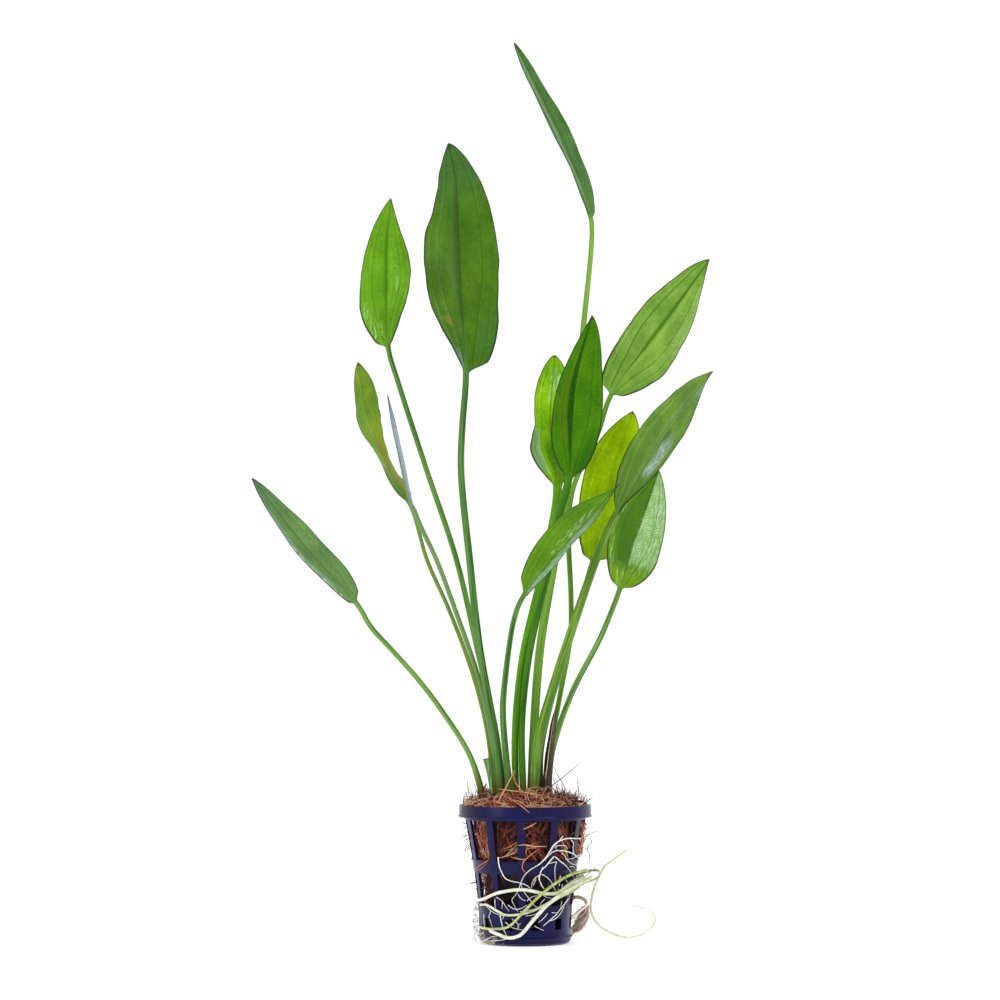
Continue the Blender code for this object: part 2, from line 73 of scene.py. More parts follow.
def newMaterial(name):
    # an empty material, and the function that adds a node to it
    material = bpy.data.materials.new(name)
    material.use_nodes = True
    material.node_tree.nodes.clear()
    return material, partial(addNode, material.node_tree)


def blend(a, b, share):
    return a + (b - a) * share


def clamp(x, low, high):
    return min(max(x, low), high)


def ease(x):
    x = clamp(x, 0.0, 1.0)
    return x * x * (3.0 - 2.0 * x)


def around(turn, radius, height):
    angle = math.radians(turn)
    return Vector((radius * math.sin(angle), -radius * math.cos(angle), height))


def smoothLine(points, steps=40):
    # a Catmull-Rom curve through the points, which stays even where their spacing isn't
    points = [Vector(p) for p in points]
    ends = [points[0] * 2.0 - points[1]] + points + [points[-1] * 2.0 - points[-2]]
    line = [points[0]]
    for i in range(1, len(ends) - 2):
        p = ends[i - 1:i + 3]
        t = [0.0]
        for a, b in zip(p, p[1:]):
            t.append(t[-1] + max((b - a).length, 1e-6) ** 0.5)
        for step in range(1, steps + 1):
            x = blend(t[1], t[2], step / steps)
            a1 = p[0] * ((t[1] - x) / (t[1] - t[0])) + p[1] * ((x - t[0]) / (t[1] - t[0]))
            a2 = p[1] * ((t[2] - x) / (t[2] - t[1])) + p[2] * ((x - t[1]) / (t[2] - t[1]))
            a3 = p[2] * ((t[3] - x) / (t[3] - t[2])) + p[3] * ((x - t[2]) / (t[3] - t[2]))
            b1 = a1 * ((t[2] - x) / (t[2] - t[0])) + a2 * ((x - t[0]) / (t[2] - t[0]))
            b2 = a2 * ((t[3] - x) / (t[3] - t[1])) + a3 * ((x - t[1]) / (t[3] - t[1]))
            line.append(b1 * ((t[2] - x) / (t[2] - t[1])) + b2 * ((x - t[1]) / (t[2] - t[1])))
    return line


def lengthsAlong(line):
    lengths = [0.0]
    for a, b in zip(line, line[1:]):
        lengths.append(lengths[-1] + (b - a).length)
    return lengths


def placeOn(line, lengths, distance):
    # the point and the direction of a line at a distance from its start
    i = 1
    while i < len(line) - 1 and lengths[i] < distance:
        i += 1
    share = (distance - lengths[i - 1]) / (lengths[i] - lengths[i - 1])
    before = line[max(i - 2, 0)]
    after = line[min(i + 1, len(line) - 1)]
    return blend(line[i - 1], line[i], share), (after - before).normalized()


def valueAlong(values, share):
    # evenly spaced values, read at a share of the way with a soft turn at each
    if len(values) == 1:
        return values[0]
    x = clamp(share, 0.0, 1.0) * (len(values) - 1)
    i = min(int(x), len(values) - 2)
    return blend(values[i], values[i + 1], ease(x - i))


def meshPiece(name, points, faces, material, nodes=(), attributes=None, outward=True):
    # a piece of the plant or the pot from points in millimetres, riding on the one body
    mesh = bpy.data.meshes.new(name)
    mesh.from_pydata([(p[0] * mm, p[1] * mm, p[2] * mm) for p in points], [], faces)
    for key, values in (attributes or {}).items():
        values = np.asarray(values, dtype=np.float32)
        kind = "FLOAT_VECTOR" if values.ndim == 2 else "FLOAT"
        layer = mesh.attributes.new(key, kind, "POINT")
        layer.data.foreach_set("vector" if values.ndim == 2 else "value", values.ravel())
    if outward:
        bm = bmesh.new()
        bm.from_mesh(mesh)
        bmesh.ops.recalc_face_normals(bm, faces=bm.faces)
        bm.to_mesh(mesh)
        bm.free()
    mesh.shade_smooth()
    mesh.materials.append(material)
    piece = bpy.data.objects.new(name, mesh)
    bpy.context.collection.objects.link(piece)
    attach(piece, "root")
    if nodes:
        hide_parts(*nodes)
    return piece


def loftFaces(rings, sides, tip=False):
    # faces of a closed body through rings of points, with a flat start and a flat end or a tip
    faces = []
    for k in range(rings - 1):
        for i in range(sides):
            j = (i + 1) % sides
            faces.append((k * sides + i, k * sides + j, (k + 1) * sides + j, (k + 1) * sides + i))
    last = (rings - 1) * sides
    faces.append(tuple(reversed(range(sides))))
    if tip:
        for i in range(sides):
            faces.append((last + i, last + (i + 1) % sides, last + sides))
    else:
        faces.append(tuple(range(last, last + sides)))
    return faces


# Camera and light

cameraView = dict(
    place=(-9.5, -1200.0, 107.5),
    aim=(-9.5, 0.0, 167.3),
    span=380.0,  # width of the picture at the plant
    sensor=36.0,
    pixels=1000,
)


def makeCamera():
    place = Vector(cameraView["place"])
    ahead = Vector(cameraView["aim"]) - place
    data = bpy.data.cameras.new("camera")
    data.sensor_width = cameraView["sensor"]
    data.lens = cameraView["sensor"] * ahead.length / cameraView["span"]
    data.clip_end = 20.0
    camera = bpy.data.objects.new("camera", data)
    camera.location = place * mm
    camera.rotation_euler = ahead.to_track_quat("-Z", "Y").to_euler()
    bpy.context.collection.objects.link(camera)
    bpy.context.scene.camera = camera


def photoRay(px, py):
    # the camera's place, and the direction in which it sees a point of the picture
    place = Vector(cameraView["place"])
    ahead = Vector(cameraView["aim"]) - place
    step = cameraView["span"] / ahead.length / cameraView["pixels"]
    ahead.normalize()
    right = Vector((1.0, 0.0, 0.0))
    up = right.cross(ahead).normalized()
    centre = cameraView["pixels"] / 2.0
    return place, ahead + right * ((px - centre) * step) - up * ((py - centre) * step)


def atDepth(px, py, y):
    # the point that the picture shows there, where it is y millimetres behind the pot's middle
    place, way = photoRay(px, py)
    return place + way * ((y - place.y) / way.y)


studio = dict(
    world=0.45,
    paper=0.42,  # how much the backdrop glows by itself
    lamps={
        # place, aim, width, height, power in watts
        "keyRight": ((560, -560, 760), (0, 0, 190), 460, 380, 4.6),
        "fillLeft": ((-760, -620, 260), (-10, 0, 170), 300, 700, 3.4),
        "backHigh": ((-160, 560, 820), (0, 0, 180), 700, 300, 4.0),
    },
)


def makeStudio():
    bpy.context.scene.view_settings.view_transform = "Standard"
    world = bpy.data.worlds.new("studio")
    bpy.context.scene.world = world
    world.use_nodes = True
    sky = world.node_tree.nodes["Background"]
    sky.inputs["Color"].default_value = (1.0, 1.0, 1.0, 1.0)
    sky.inputs["Strength"].default_value = studio["world"]
    for name, (place, aim, width, height, power) in studio["lamps"].items():
        lamp = bpy.data.lights.new(name, "AREA")
        lamp.shape = "RECTANGLE"
        lamp.size = width * mm
        lamp.size_y = height * mm
        lamp.energy = power
        holder = bpy.data.objects.new(name, lamp)
        holder.location = Vector(place) * mm
        holder.rotation_euler = (Vector(aim) - Vector(place)).to_track_quat("-Z", "Y").to_euler()
        bpy.context.collection.objects.link(holder)


sweep = dict(front=-2600.0, back=900.0, bend=500.0, top=2600.0, half=2600.0)


def makeFloor():
    # a paper sweep: flat under the pot, bent up behind it
    profile = [(sweep["front"], 0.0), (sweep["back"], 0.0)]
    for step in range(1, 13):
        angle = math.radians(90.0 * step / 12)
        y = sweep["back"] + sweep["bend"] * math.sin(angle)
        profile.append((y, sweep["bend"] * (1.0 - math.cos(angle))))
    profile.append((profile[-1][0], sweep["top"]))
    points = [(x * mm, y * mm, z * mm) for y, z in profile for x in (-sweep["half"], sweep["half"])]
    faces = [(2 * i, 2 * i + 1, 2 * i + 3, 2 * i + 2) for i in range(len(profile) - 1)]
    mesh = bpy.data.meshes.new("floor")
    mesh.from_pydata(points, [], faces)
    mesh.shade_smooth()
    material, add = newMaterial("paperSweep")
    # matt background paper: an even, bright white without a shine
    grain = add("TexNoise", {"Scale": 900.0, "Detail": 3.0})
    tone = add("MapRange", {0: grain, 3: 0.8, 4: 0.84})
    shader = add("BsdfPrincipled", {"Base Color": tone, "Roughness": 0.9})
    shader.inputs["Specular IOR Level"].default_value = 0.1
    shader.inputs["Emission Color"].default_value = (1.0, 1.0, 1.0, 1.0)
    shader.inputs["Emission Strength"].default_value = studio["paper"]
    add("OutputMaterial", {0: shader})
    mesh.materials.append(material)
    floor = bpy.data.objects.new("floor", mesh)
    bpy.context.collection.objects.link(floor)


makeCamera()
makeStudio()
makeFloor()
print("camera, lamps and floor")


# Leaves

stalkFoot = 52.6  # in the crown, under the fibre
leaves = {
    "leafFarLeft": dict(
        node="leaf_far_left",
        foot=(-15.2, -2.2),
        stalk=[(-20.8, -3.5, 70.4), (-31.9, -7, 88.2), (-40.1, -10, 99.1), (-50, -13, 110.3),
               (-57.8, -15.5, 118.9)],
        neck=(-63, -17, 127.5),
        blade=[(-83.3, -22, 150.2), (-101.8, -25, 174.3)],
        thick=(2.8, 2.0, 1.9),
        left=(8.5, 0.41, 0.8, 1.35),
        right=(8.5, 0.27, 1.05, 1.6),
        neckShare=0.05,
        turn=[54],
        fold=10,
        wave=(0.3, 2),
        ladder=0.12,
        colours=dict(face="85ae69", deep="75995a", vein="547f40", stem="8cb85a", stemDark="44702c"),
        marks=[((-1.2, -1.0, -0.8, -0.6), (0.1, 0.25, 0.7, 0.9), "a8c4b4", 0.5),
               # painted glint along the lower margin
               ((-0.98, -0.93, -0.85, -0.74), (0.04, 0.12, 0.5, 0.68), "f4faf8", 0.85, "broken"),
               # painted bluish sheen over the tip
               ((-1.2, -1.0, 1.0, 1.2), (0.72, 0.95, 1.0, 1.1), "5c8c70", 0.6)],
    ),
    "leafYellowTwisted": dict(
        node="leaf_yellow_twisted",
        foot=(-11.6, 1.2),
        stalk=[(-13.7, 1.5, 75.5), (-17.5, 3, 93.3), (-23, 6, 110.4), (-29.8, 9, 127.6),
               (-37.5, 13, 144.9)],
        neck=(-43.8, 18, 165.5),
        blade=[(-52.6, 22, 180), (-61.7, 28, 203.8), (-65.0, 31, 222.8)],
        thick=(2.2, 1.7, 1.5),
        left=(9.0, 0.55, 1.4, 1.6),
        right=(9.0, 0.6, 1.4, 1.6),
        turn=[60, 76, 58, 50],
        fold=5,
        wave=(0.6, 2),
        edges=dict(
            left=[1.2, 1.4, 1.42, 1.25, 0.95, 1.2, 1.15, 1.0, 0.9, 0.88, 0.9],
            right=[1.1, 1.25, 1.3, 1.12, 0.82, 0.64, 0.74, 1.0, 1.22, 1.32, 1.3],
        ),
        clear=0.5,
        ladder=0.12,
        veinShow=0.5,
        colours=dict(face="acc246", deep="8cb243", vein="688f28", stem="98b44c", stemDark="547c30"),
        marks=[((-1.2, -1.0, -0.1, 0.3), (0.0, 0.05, 0.2, 0.36), "4f8c2c", 0.6),
               ((-0.6, -0.3, 0.5, 0.8), (0.26, 0.34, 0.44, 0.54), "c08a48", 0.45),
               ((-0.4, -0.1, 0.9, 1.1), (0.02, 0.1, 0.24, 0.34), "a8903c", 0.5)],
    ),
    "leafEdgeOn": dict(
        node="leaf_edge_on",
        foot=(-8.6, -0.4),
        stalk=[(-12.9, -0.6, 78.2), (-17.4, -1.6, 99), (-27.1, -5, 127.3), (-33.4, -8.5, 144.2)],
        neck=(-41.6, -12.5, 162.5),
        blade=[(-48.1, -17.5, 188.9), (-51.5, -21.5, 205.6)],
        thick=(2.2, 1.9, 1.7),
        left=(5.5, 0.5, 1.2, 1.6),
        right=(5.5, 0.5, 1.2, 1.6),
        turn=[82],
        fold=0,
        wave=(0.0, 1),
        shine=0.4,
        glare=1.0,  # seen along its sheet, it throws back the sky
        back=0.85,
        ladder=0.05,
        # pale blue-grey face: the leaf's own green with a painted reflection of the sky along its sheet
        colours=dict(face="b2c6da", deep="9cb2c4", vein="7c9098", stem="84ac60", stemDark="3f6c30"),
        marks=[((-1.2, -1.0, 1.0, 1.2), (0.84, 0.98, 1.0, 1.1), "3c5058", 0.8)],
    ),
    "leafLeftUpright": dict(
        node="leaf_left_upright",
        foot=(-8.6, 4.4),
        stalk=[(-10.6, 5.5, 76.2), (-18.1, 9, 110.4), (-26.2, 13.5, 144.9), (-37.9, 21, 180),
               (-49.5, 29, 215.6)],
        neck=(-53.2, 32, 228.4),
        blade=[(-54, 38, 256), (-53.9, 41, 274), (-52.5, 42, 289)],
        thick=(2.6, 2.2, 2.0),
        left=(10.8, 0.3, 1.5, 1.6),
        right=(10.0, 0.44, 1.9, 2.3),
        neckShare=0.04,
        turn=[-15],
        fold=8,
        wave=(0.5, 2),
        edges=dict(
            left=[1.2, 0.97, 0.97, 1.0, 1.02, 1.03, 1.01, 0.97, 0.97, 0.98, 1.0],
            right=[1.1, 0.93, 0.86, 0.92, 0.99, 1.07, 1.06, 1.0, 0.93, 0.9, 1.0],
        ),
        clear=0.5,
        shine=0.12,
        ladder=0.14,
        colours=dict(face="92ca32", deep="80b529", vein="54900f", stem="94c060", stemDark="4c8430"),
        marks=[((-0.16, -0.06, -0.02, 0.02), (0.0, 0.1, 0.7, 0.95), "5c9c12", 0.7),
               ((0.1, 0.16, 0.2, 0.3), (0.1, 0.2, 0.6, 0.8), "a4d840", 0.5),
               # the next three marks are painted glints
               ((0.38, 0.42, 0.46, 0.5), (0.26, 0.32, 0.5, 0.62), "f0fad0", 0.65, "broken"),
               ((-0.97, -0.9, -0.8, -0.7), (0.03, 0.08, 0.24, 0.34), "f0fae0", 0.65, "broken"),
               ((-0.66, -0.58, -0.5, -0.44), (0.06, 0.1, 0.2, 0.26), "e8f8c8", 0.65, "broken")],
    ),
    "leafLargest": dict(
        node="leaf_largest",
        foot=(-9.2, -4.6),
        stalk=[(-11.2, -5, 76.5), (-17.1, -5, 110.4), (-21, -4, 144.4), (-24.3, -1.5, 178.6),
               (-23.8, 0.5, 195.9)],
        neck=(-22.5, 3, 215.6),
        blade=[(-24.3, 7, 245), (-25.4, 11, 270), (-26.5, 13, 291), (-29.6, 13, 306)],
        thick=(4.4, 2.9, 2.4),
        left=(14.2, 0.42, 2.2, 2.0),
        right=(15.1, 0.38, 0.82, 1.2),
        turn=[8],
        fold=8,
        wave=(0.6, 3),
        neckShare=0.05,
        edges=dict(
            left=[0.78, 0.8, 0.89, 0.95, 0.97, 1.03, 1.05, 0.93, 0.97, 1.2, 1.3],
            right=[1.05, 1.0, 0.99, 0.94, 0.96, 1.03, 1.03, 1.02, 0.99, 0.9, 0.86],
        ),
        rung=0.04,
        ladder=0.24,
        colours=dict(face="5f8e21", deep="4f7d1c", vein="2f5c0c", stem="7cac5c", stemDark="2f6824"),
        # first mark: painted shade of the fold, a dark band left of the midrib; second: painted bluish sheen
        # over the tip
        marks=[((-0.3, -0.06, -0.015, 0.0), (-0.02, 0.08, 0.72, 0.98), "325f08", 0.85),
               ((-1.2, -1.0, 1.0, 1.2), (0.66, 0.95, 1.0, 1.1), "507c4a", 0.6),
               ((-1.2, -1.0, -0.8, -0.6), (-0.02, 0.0, 0.08, 0.13), "9cb8b4", 0.7),
               ((-1.0, -0.85, -0.6, -0.3), (0.45, 0.52, 0.62, 0.72), "68a024", 0.6),
               ((0.5, 0.75, 1.0, 1.2), (0.04, 0.1, 0.2, 0.28), "528a3c", 0.6),
               ((-0.8, -0.73, -0.68, -0.6), (0.2, 0.225, 0.24, 0.265), "a88c34", 0.7)],
    ),
    "leafTallest": dict(
        node="leaf_tallest",
        foot=(2.2, 1.4),
        stalk=[(3.2, 3, 76.3), (5.7, 6, 110.4), (11.2, 12, 142.9), (15.9, 17, 168.1), (23.1, 28.5, 237.1),
               (26.2, 33.5, 267)],
        neck=(26.5, 35.5, 278.4),
        blade=[(24.3, 37, 287.4), (17, 40, 307), (9.5, 42, 324), (-3.9, 43, 351)],
        thick=(3.4, 3.4, 1.9),
        left=(9.5, 0.5, 1.2, 1.6),
        right=(10.0, 0.38, 1.3, 1.15),
        turn=[66, 68, 63, 61],
        fold=7.5,
        wave=(0.4, 2),
        neckShare=0.06,
        edges=dict(
            left=[1.2, 1.2, 1.16, 1.08, 1.0, 1.0, 1.05, 1.14, 1.22, 1.35, 1.45],
            right=[0.85, 0.95, 1.08, 1.12, 1.05, 0.95, 0.85, 0.8, 0.76, 0.76, 0.76],
        ),
        ladder=0.12,
        colours=dict(face="619346", deep="4e7e3a", vein="2c5c24", stem="98c450", stemDark="5c8c24"),
        marks=[((-0.8, -0.7, -0.5, -0.42), (0.0, 0.15, 0.9, 1.0), "a4c090", 0.7),
               ((-0.14, -0.06, 0.0, 0.1), (0.0, 0.1, 0.9, 1.0), "3f6c30", 0.6),
               ((-0.4, 0.0, 1.0, 1.2), (-0.05, 0.0, 0.12, 0.22), "74a044", 0.6)],
    ),
    "leafCentreFront": dict(
        node="leaf_centre_front",
        foot=(-0.6, -5.0),
        stalk=[(-1.3, -5, 78.3), (-0.4, -5.5, 93.4), (1.8, -7, 110.3), (8.9, -10.5, 142.3),
               (12.3, -12, 159.2)],
        neck=(16, -14, 173.4),
        blade=[(17.5, -16, 192.5), (19, -18, 210), (24.9, -21, 235.6)],
        thick=(2.7, 2.4, 3.0),
        left=(9.6, 0.3, 2.0, 2.3),
        right=(11.0, 0.37, 1.5, 1.45),
        turn=[20],
        fold=15,
        wave=(0.5, 2),
        rung=0.06,
        ladder=0.36,
        colours=dict(face="599905", deep="4b8703", vein="2a6406", stem="5c9c20", stemDark="245c14"),
        # first mark: painted shadow of a stalk behind the leaf, seen through it as a dark band beside the midrib
        marks=[((-0.36, -0.26, -0.04, 0.0), (0.08, 0.2, 0.92, 1.0), "1c5004", 0.9),
               ((-0.02, 0.01, 0.04, 0.07), (0.1, 0.2, 0.8, 0.95), "7cb424", 0.6),
               ((-0.8, -0.6, -0.5, -0.35), (0.18, 0.3, 0.58, 0.72), "74860c", 0.6),
               ((0.4, 0.8, 1.0, 1.2), (0.0, 0.08, 0.24, 0.4), "30740c", 0.7)],
    ),
    "leafCentreBack": dict(
        node="leaf_centre_back",
        foot=(-3.5, -2.0),
        stalk=[(-3.8, -2.5, 78.3), (-2.8, -2.5, 93.4), (-0.4, -2.5, 110.4), (7.2, -0.5, 142.6)],
        neck=(12.4, 3, 171.6),
        blade=[(10.4, 5, 187), (9.9, 6.5, 203), (11.6, 8, 223.4)],
        thick=(2.7, 2.6, 3.4),
        left=(7.2, 0.35, 2.0, 1.05),
        right=(9.8, 0.5, 1.5, 1.5),
        turn=[-10],
        fold=8,
        wave=(0.6, 2),
        edges=dict(
            left=[1.0, 1.05, 1.08, 1.1, 0.95, 0.87, 0.94, 1.03, 1.08, 1.08, 1.0],
            right=[1.0],
        ),
        curl=dict(side=-1, span=(0.12, 0.3, 0.38, 0.5), start=0.5, lift=3.4),
        shine=0.15,
        ladder=0.26,
        colours=dict(face="a8d812", deep="86c00d", vein="4c880c", stem="84c424", stemDark="448c18"),
        marks=[((-1.2, -1.0, -0.72, -0.55), (0.1, 0.2, 0.42, 0.48), "a8c0b0", 0.75),
               ((-0.6, -0.3, 1.0, 1.2), (0.0, 0.02, 0.3, 0.42), "3c7c0c", 0.85),
               # the next two marks are painted glints
               ((-0.3, 0.0, 0.4, 0.7), (0.6, 0.7, 0.86, 0.92), "d8f0d0", 0.8, "broken"),
               ((-0.66, -0.6, -0.54, -0.48), (0.5, 0.56, 0.76, 0.86), "e0f0b8", 0.8, "broken"),
               ((-0.2, -0.1, 0.1, 0.25), (0.36, 0.42, 0.5, 0.56), "a09018", 0.6)],
    ),
    "leafRightUpper": dict(
        node="leaf_right_upper",
        foot=(7.2, 4.6),
        stalk=[(9.1, 4.6, 70.5), (13.4, 7, 93.3), (17.5, 12, 116.1), (17.8, 15, 129.6), (17, 21, 160.6),
               (19.2, 23, 174.3), (28.2, 27, 193.6)],
        neck=(33.8, 30, 209.8),
        blade=[(46.9, 34, 228.2), (57.7, 37, 242.7), (73.2, 39.5, 264.2)],
        thick=(2.4, 2.0, 2.0),
        left=(10.7, 0.4, 0.75, 1.4),
        right=(13.1, 0.36, 1.35, 2.4),
        neckShare=0.035,
        turn=[15],
        fold=-8,
        wave=(0.5, 2),
        clear=0.5,
        ladder=0.14,
        veinShow=1.3,
        edges=dict(
            left=[1.1, 1.0, 0.99, 0.98, 0.98, 1.01, 1.05, 1.01, 0.97, 1.0, 1.0],
            right=[1.1, 0.98, 0.98, 1.04, 1.01, 0.97, 1.0, 1.02, 0.98, 0.97, 1.0],
        ),
        colours=dict(face="9bc059", deep="84ac48", vein="4f7c1c", stem="9cc850", stemDark="5c882c"),
        marks=[((0.5, 0.8, 1.0, 1.2), (0.3, 0.5, 0.8, 0.95), "b8d088", 0.5),
               ((-0.13, -0.06, 0.02, 0.08), (0.0, 0.06, 0.88, 1.0), "5c941e", 0.95),
               ((0.06, 0.12, 0.2, 0.3), (0.1, 0.2, 0.7, 0.9), "b4d468", 0.5),
               ((-0.64, -0.6, -0.56, -0.52), (0.02, 0.08, 0.8, 0.94), "5f9424", 0.5)],
    ),
    "leafRightLong": dict(
        node="leaf_right_long",
        foot=(3.0, -4.0),
        stalk=[(5.2, -6, 76.5), (11.4, -10, 99.1), (18.6, -16, 121.5), (26.3, -22, 143.8)],
        neck=(33.0, -27.2, 159.6),
        blade=[(38.7, -30, 168.8), (43.6, -33, 177.5), (54.6, -38, 194.9), (68.8, -42, 212.7)],
        thick=(3.3, 3.8, 2.8),
        left=(11.7, 0.44, 1.9, 1.9),
        right=(12.6, 0.6, 3.6, 3.7),
        turn=[-48],
        fold=11,
        wave=(0.5, 2),
        edges=dict(
            left=[1.1, 1.1, 1.05, 1.0, 1.0, 0.97, 0.94, 0.91, 1.02, 1.15, 1.15],
            right=[1.0, 1.0, 1.0, 1.0, 1.0, 1.0, 0.98, 0.95, 0.88, 0.78, 0.75],
        ),
        shine=0.3,
        ladder=0.1,
        veinShow=0.4,
        colours=dict(face="86b045", deep="739c41", vein="5a8034", stem="a0c850", stemDark="5c8a28"),
        # the first four marks are painted: pale blue-grey reflections of the sky, glints, and a highlight along
        # the midrib
        marks=[((0.1, 0.26, 0.66, 0.9), (0.26, 0.34, 0.5, 0.64), "b4c8c8", 0.6),
               ((0.2, 0.3, 0.62, 0.8), (0.27, 0.34, 0.48, 0.58), "fafcff", 0.85, "broken"),
               ((-0.03, 0.0, 0.05, 0.09), (0.1, 0.25, 0.85, 0.96), "b0cca0", 0.8),
               ((0.1, 0.3, 1.0, 1.2), (0.8, 0.88, 0.94, 0.98), "a8bccc", 0.5),
               ((0.05, 0.12, 0.3, 0.4), (0.5, 0.54, 0.58, 0.62), "40641c", 0.5),
               ((-1.2, -1.0, -0.3, 0.1), (0.0, 0.1, 0.34, 0.44), "5c8c24", 0.6)],
    ),
    "leafRightYellow": dict(
        node="leaf_right_yellow",
        foot=(6.0, 0.6),
        stalk=[(6, 1, 72.1), (12.2, 3, 99), (19.5, 7, 121.8), (25, 13, 141.1)],
        neck=(26.0, 14, 144.0),
        blade=[(31.8, 19, 172), (36.5, 21, 187.7), (42, 22, 203)],
        thick=(2.6, 2.2, 2.0),
        left=(10.4, 0.55, 1.2, 1.8),
        right=(11.6, 0.5, 1.1, 1.6),
        neckShare=0.04,
        turn=[-15],
        fold=6,
        wave=(0.5, 2),
        clear=0.5,
        edges=dict(
            left=[1.4, 1.1, 1.0, 0.98, 1.0, 1.0, 1.0, 1.0, 1.0, 1.0, 1.0],
            right=[1.7, 1.2, 1.0, 1.0, 1.0, 1.0, 1.0, 1.0, 1.0, 1.0, 1.0],
        ),
        ladder=0.16,
        veinShow=0.25,
        colours=dict(face="b6d406", deep="a1bf06", vein="869c08", stem="94b858", stemDark="4c7c28"),
        marks=[((-0.06, -0.02, 0.06, 0.12), (-0.05, 0.0, 0.25, 0.4), "ccd86c", 0.6)],
    ),
    "leafRightLower": dict(
        node="leaf_right_lower",
        foot=(8.8, -0.4),
        stalk=[(10, -0.4, 70.7), (17.4, 0, 93.3), (29, 0.5, 116)],
        neck=(36, 2, 133.5),
        blade=[(40.7, 1, 149.5), (44.4, 0, 160), (50.8, -2, 178.6)],
        thick=(2.4, 2.3, 2.0),
        left=(10.4, 0.53, 1.05, 3.0),
        right=(11.6, 0.31, 1.3, 1.65),
        neckShare=0.045,
        turn=[-5],
        fold=18,
        wave=(0.4, 2),
        rung=0.09,
        shine=0.35,
        ladder=0.3,
        colours=dict(face="80b204", deep="6c9d02", vein="30640a", stem="9cc468", stemDark="44782c"),
        # first mark: painted shade over the left half; second: painted pale reflection over the right half; the
        # four after it are painted glints
        marks=[((-0.9, -0.6, -0.03, 0.02), (0.1, 0.25, 0.85, 1.0), "3c7c04", 0.75),
               ((0.02, 0.08, 1.0, 1.2), (0.16, 0.3, 1.0, 1.1), "c0e4a4", 0.85),
               ((0.0, 0.1, 0.9, 1.0), (0.08, 0.2, 0.7, 1.0), "f4fff0", 0.45, "broken"),
               ((-0.98, -0.92, -0.84, -0.74), (0.12, 0.2, 0.6, 0.75), "f0f8dc", 0.5, "broken"),
               ((-0.06, 0.0, 0.06, 0.12), (0.1, 0.16, 0.5, 0.66), "fafff4", 0.95, "broken"),
               ((-0.8, -0.6, 0.0, 0.3), (0.03, 0.08, 0.16, 0.24), "f4ffd8", 0.55, "broken"),
               ((-1.2, -0.9, 1.0, 1.2), (-0.02, 0.02, 0.1, 0.22), "9cc820", 0.7)],
    ),
    "leafFrontLow": dict(
        node="leaf_front_low",
        foot=(-5.4, -6.4),
        stalk=[(-7.8, -8.5, 76.6), (-8.4, -10.5, 87.8), (-7.6, -14, 99.1), (-4.3, -21.5, 121.5)],
        neck=(-1.2, -24.6, 129.6),
        blade=[(12.6, -33, 147.3), (21.5, -37, 157), (34.4, -44, 171)],
        thick=(3.0, 2.6, 1.9),
        left=(11.0, 0.44, 1.25, 3.0),
        right=(11.0, 0.57, 0.9, 3.0),
        turn=[-57],
        fold=19,
        wave=(0.4, 2),
        rung=0.045,
        shine=0.4,
        ladder=0.14,
        colours=dict(face="7bb21b", deep="69a016", vein="447a0c", stem="80b450", stemDark="366c1e"),
        # first mark: painted pale blue-grey reflection along the lower strip; the next two are painted glints
        marks=[((0.35, 0.6, 1.0, 1.2), (0.02, 0.12, 0.7, 0.86), "a8c8b4", 0.7),
               ((0.2, 0.36, 0.9, 1.0), (0.04, 0.16, 0.6, 0.8), "e4f4ec", 0.65, "broken"),
               ((-0.3, -0.2, 0.1, 0.2), (0.3, 0.4, 0.75, 0.86), "dcf4c4", 0.6, "broken"),
               ((-0.04, 0.0, 0.05, 0.1), (0.0, 0.1, 0.85, 1.0), "9ccc5c", 0.5)],
    ),
}
# Each mark is where it lies across the blade, -1 to 1, and along it, 0 to 1, as a rise and a fall,
# then its colour and its strength; a mark with a fifth value shows as separate streaks, a painted glint.
# Marks are the leaf's own spots and vein lines, and also painted glints, painted reflections and painted shade.
leafLook = dict(
    # what a leaf looks like where it has no value of its own for it
    ladder=0.18,  # how dark the rungs and the net between them are
    veinShow=1.0,  # how strongly the main veins show
    back=0.3,  # how much duller and paler the underside is
    shine=0.06,  # how thick the film of water is
    glare=0.0,  # how strong its bluish sheen is, seen along the sheet
    clear=0.42,  # how much light comes through
)
leafForm = dict(
    # what all leaves have in common
    footColour="725616",
    marginColour="1f3a2c",
    backColour="8fae6c",
    veinDark=(0.4, 0.18),  # how dark the side veins are beside the midrib
    stalkRings=46,
    ringSpacing=0.29,
    neckShare=0.09,
    footShare=0.25,
    ribTaper=0.8,
    keel=0.8,
    thick=0.5,
    sideVeins=(0.58, 0.82),  # where the side veins run, as a share of the half width
    gather=(1.3, 0.45),  # how strongly they draw together towards the base, and up to where
    bandSteps=4,
    midGroove=(0.30, 0.5),  # depth and half width of each groove
    veinGroove=(0.10, 0.32),
    pillow=0.09,  # how far the tissue swells between the veins
    rung=0.03,  # the ladder of cross veins
    rungSpacing=1.15,
    rungSlant=0.6,
    ridges=7,
    ridgeDepth=0.035,
    unevenness=0.35,
)


def acrossShares():
    # places across a blade, closer together beside each vein and at the margins
    veins = leafForm["sideVeins"]
    edges = [-1.0, -veins[1], -veins[0], 0.0, veins[0], veins[1], 1.0]
    shares = []
    for a, b in zip(edges, edges[1:]):
        for k in range(leafForm["bandSteps"]):
            shares.append(blend(a, b, (1.0 - math.cos(math.pi * k / leafForm["bandSteps"])) / 2.0))
    return shares + [1.0]


acrossBlade = acrossShares()


def halfWidth(half, u):
    width, widest, basePoint, tipPoint = half
    if u < widest:
        x = u / widest
        power = basePoint / 2.0
    else:
        x = (1.0 - u) / (1.0 - widest)
        power = tipPoint / 2.0
    return width * max(x * (2.0 - x), 0.0) ** power


def rise(x, start, full, fading, end):
    # 0 outside start and end, 1 between full and fading
    return ease((x - start) / (full - start)) * (1.0 - ease((x - fading) / (end - fading)))


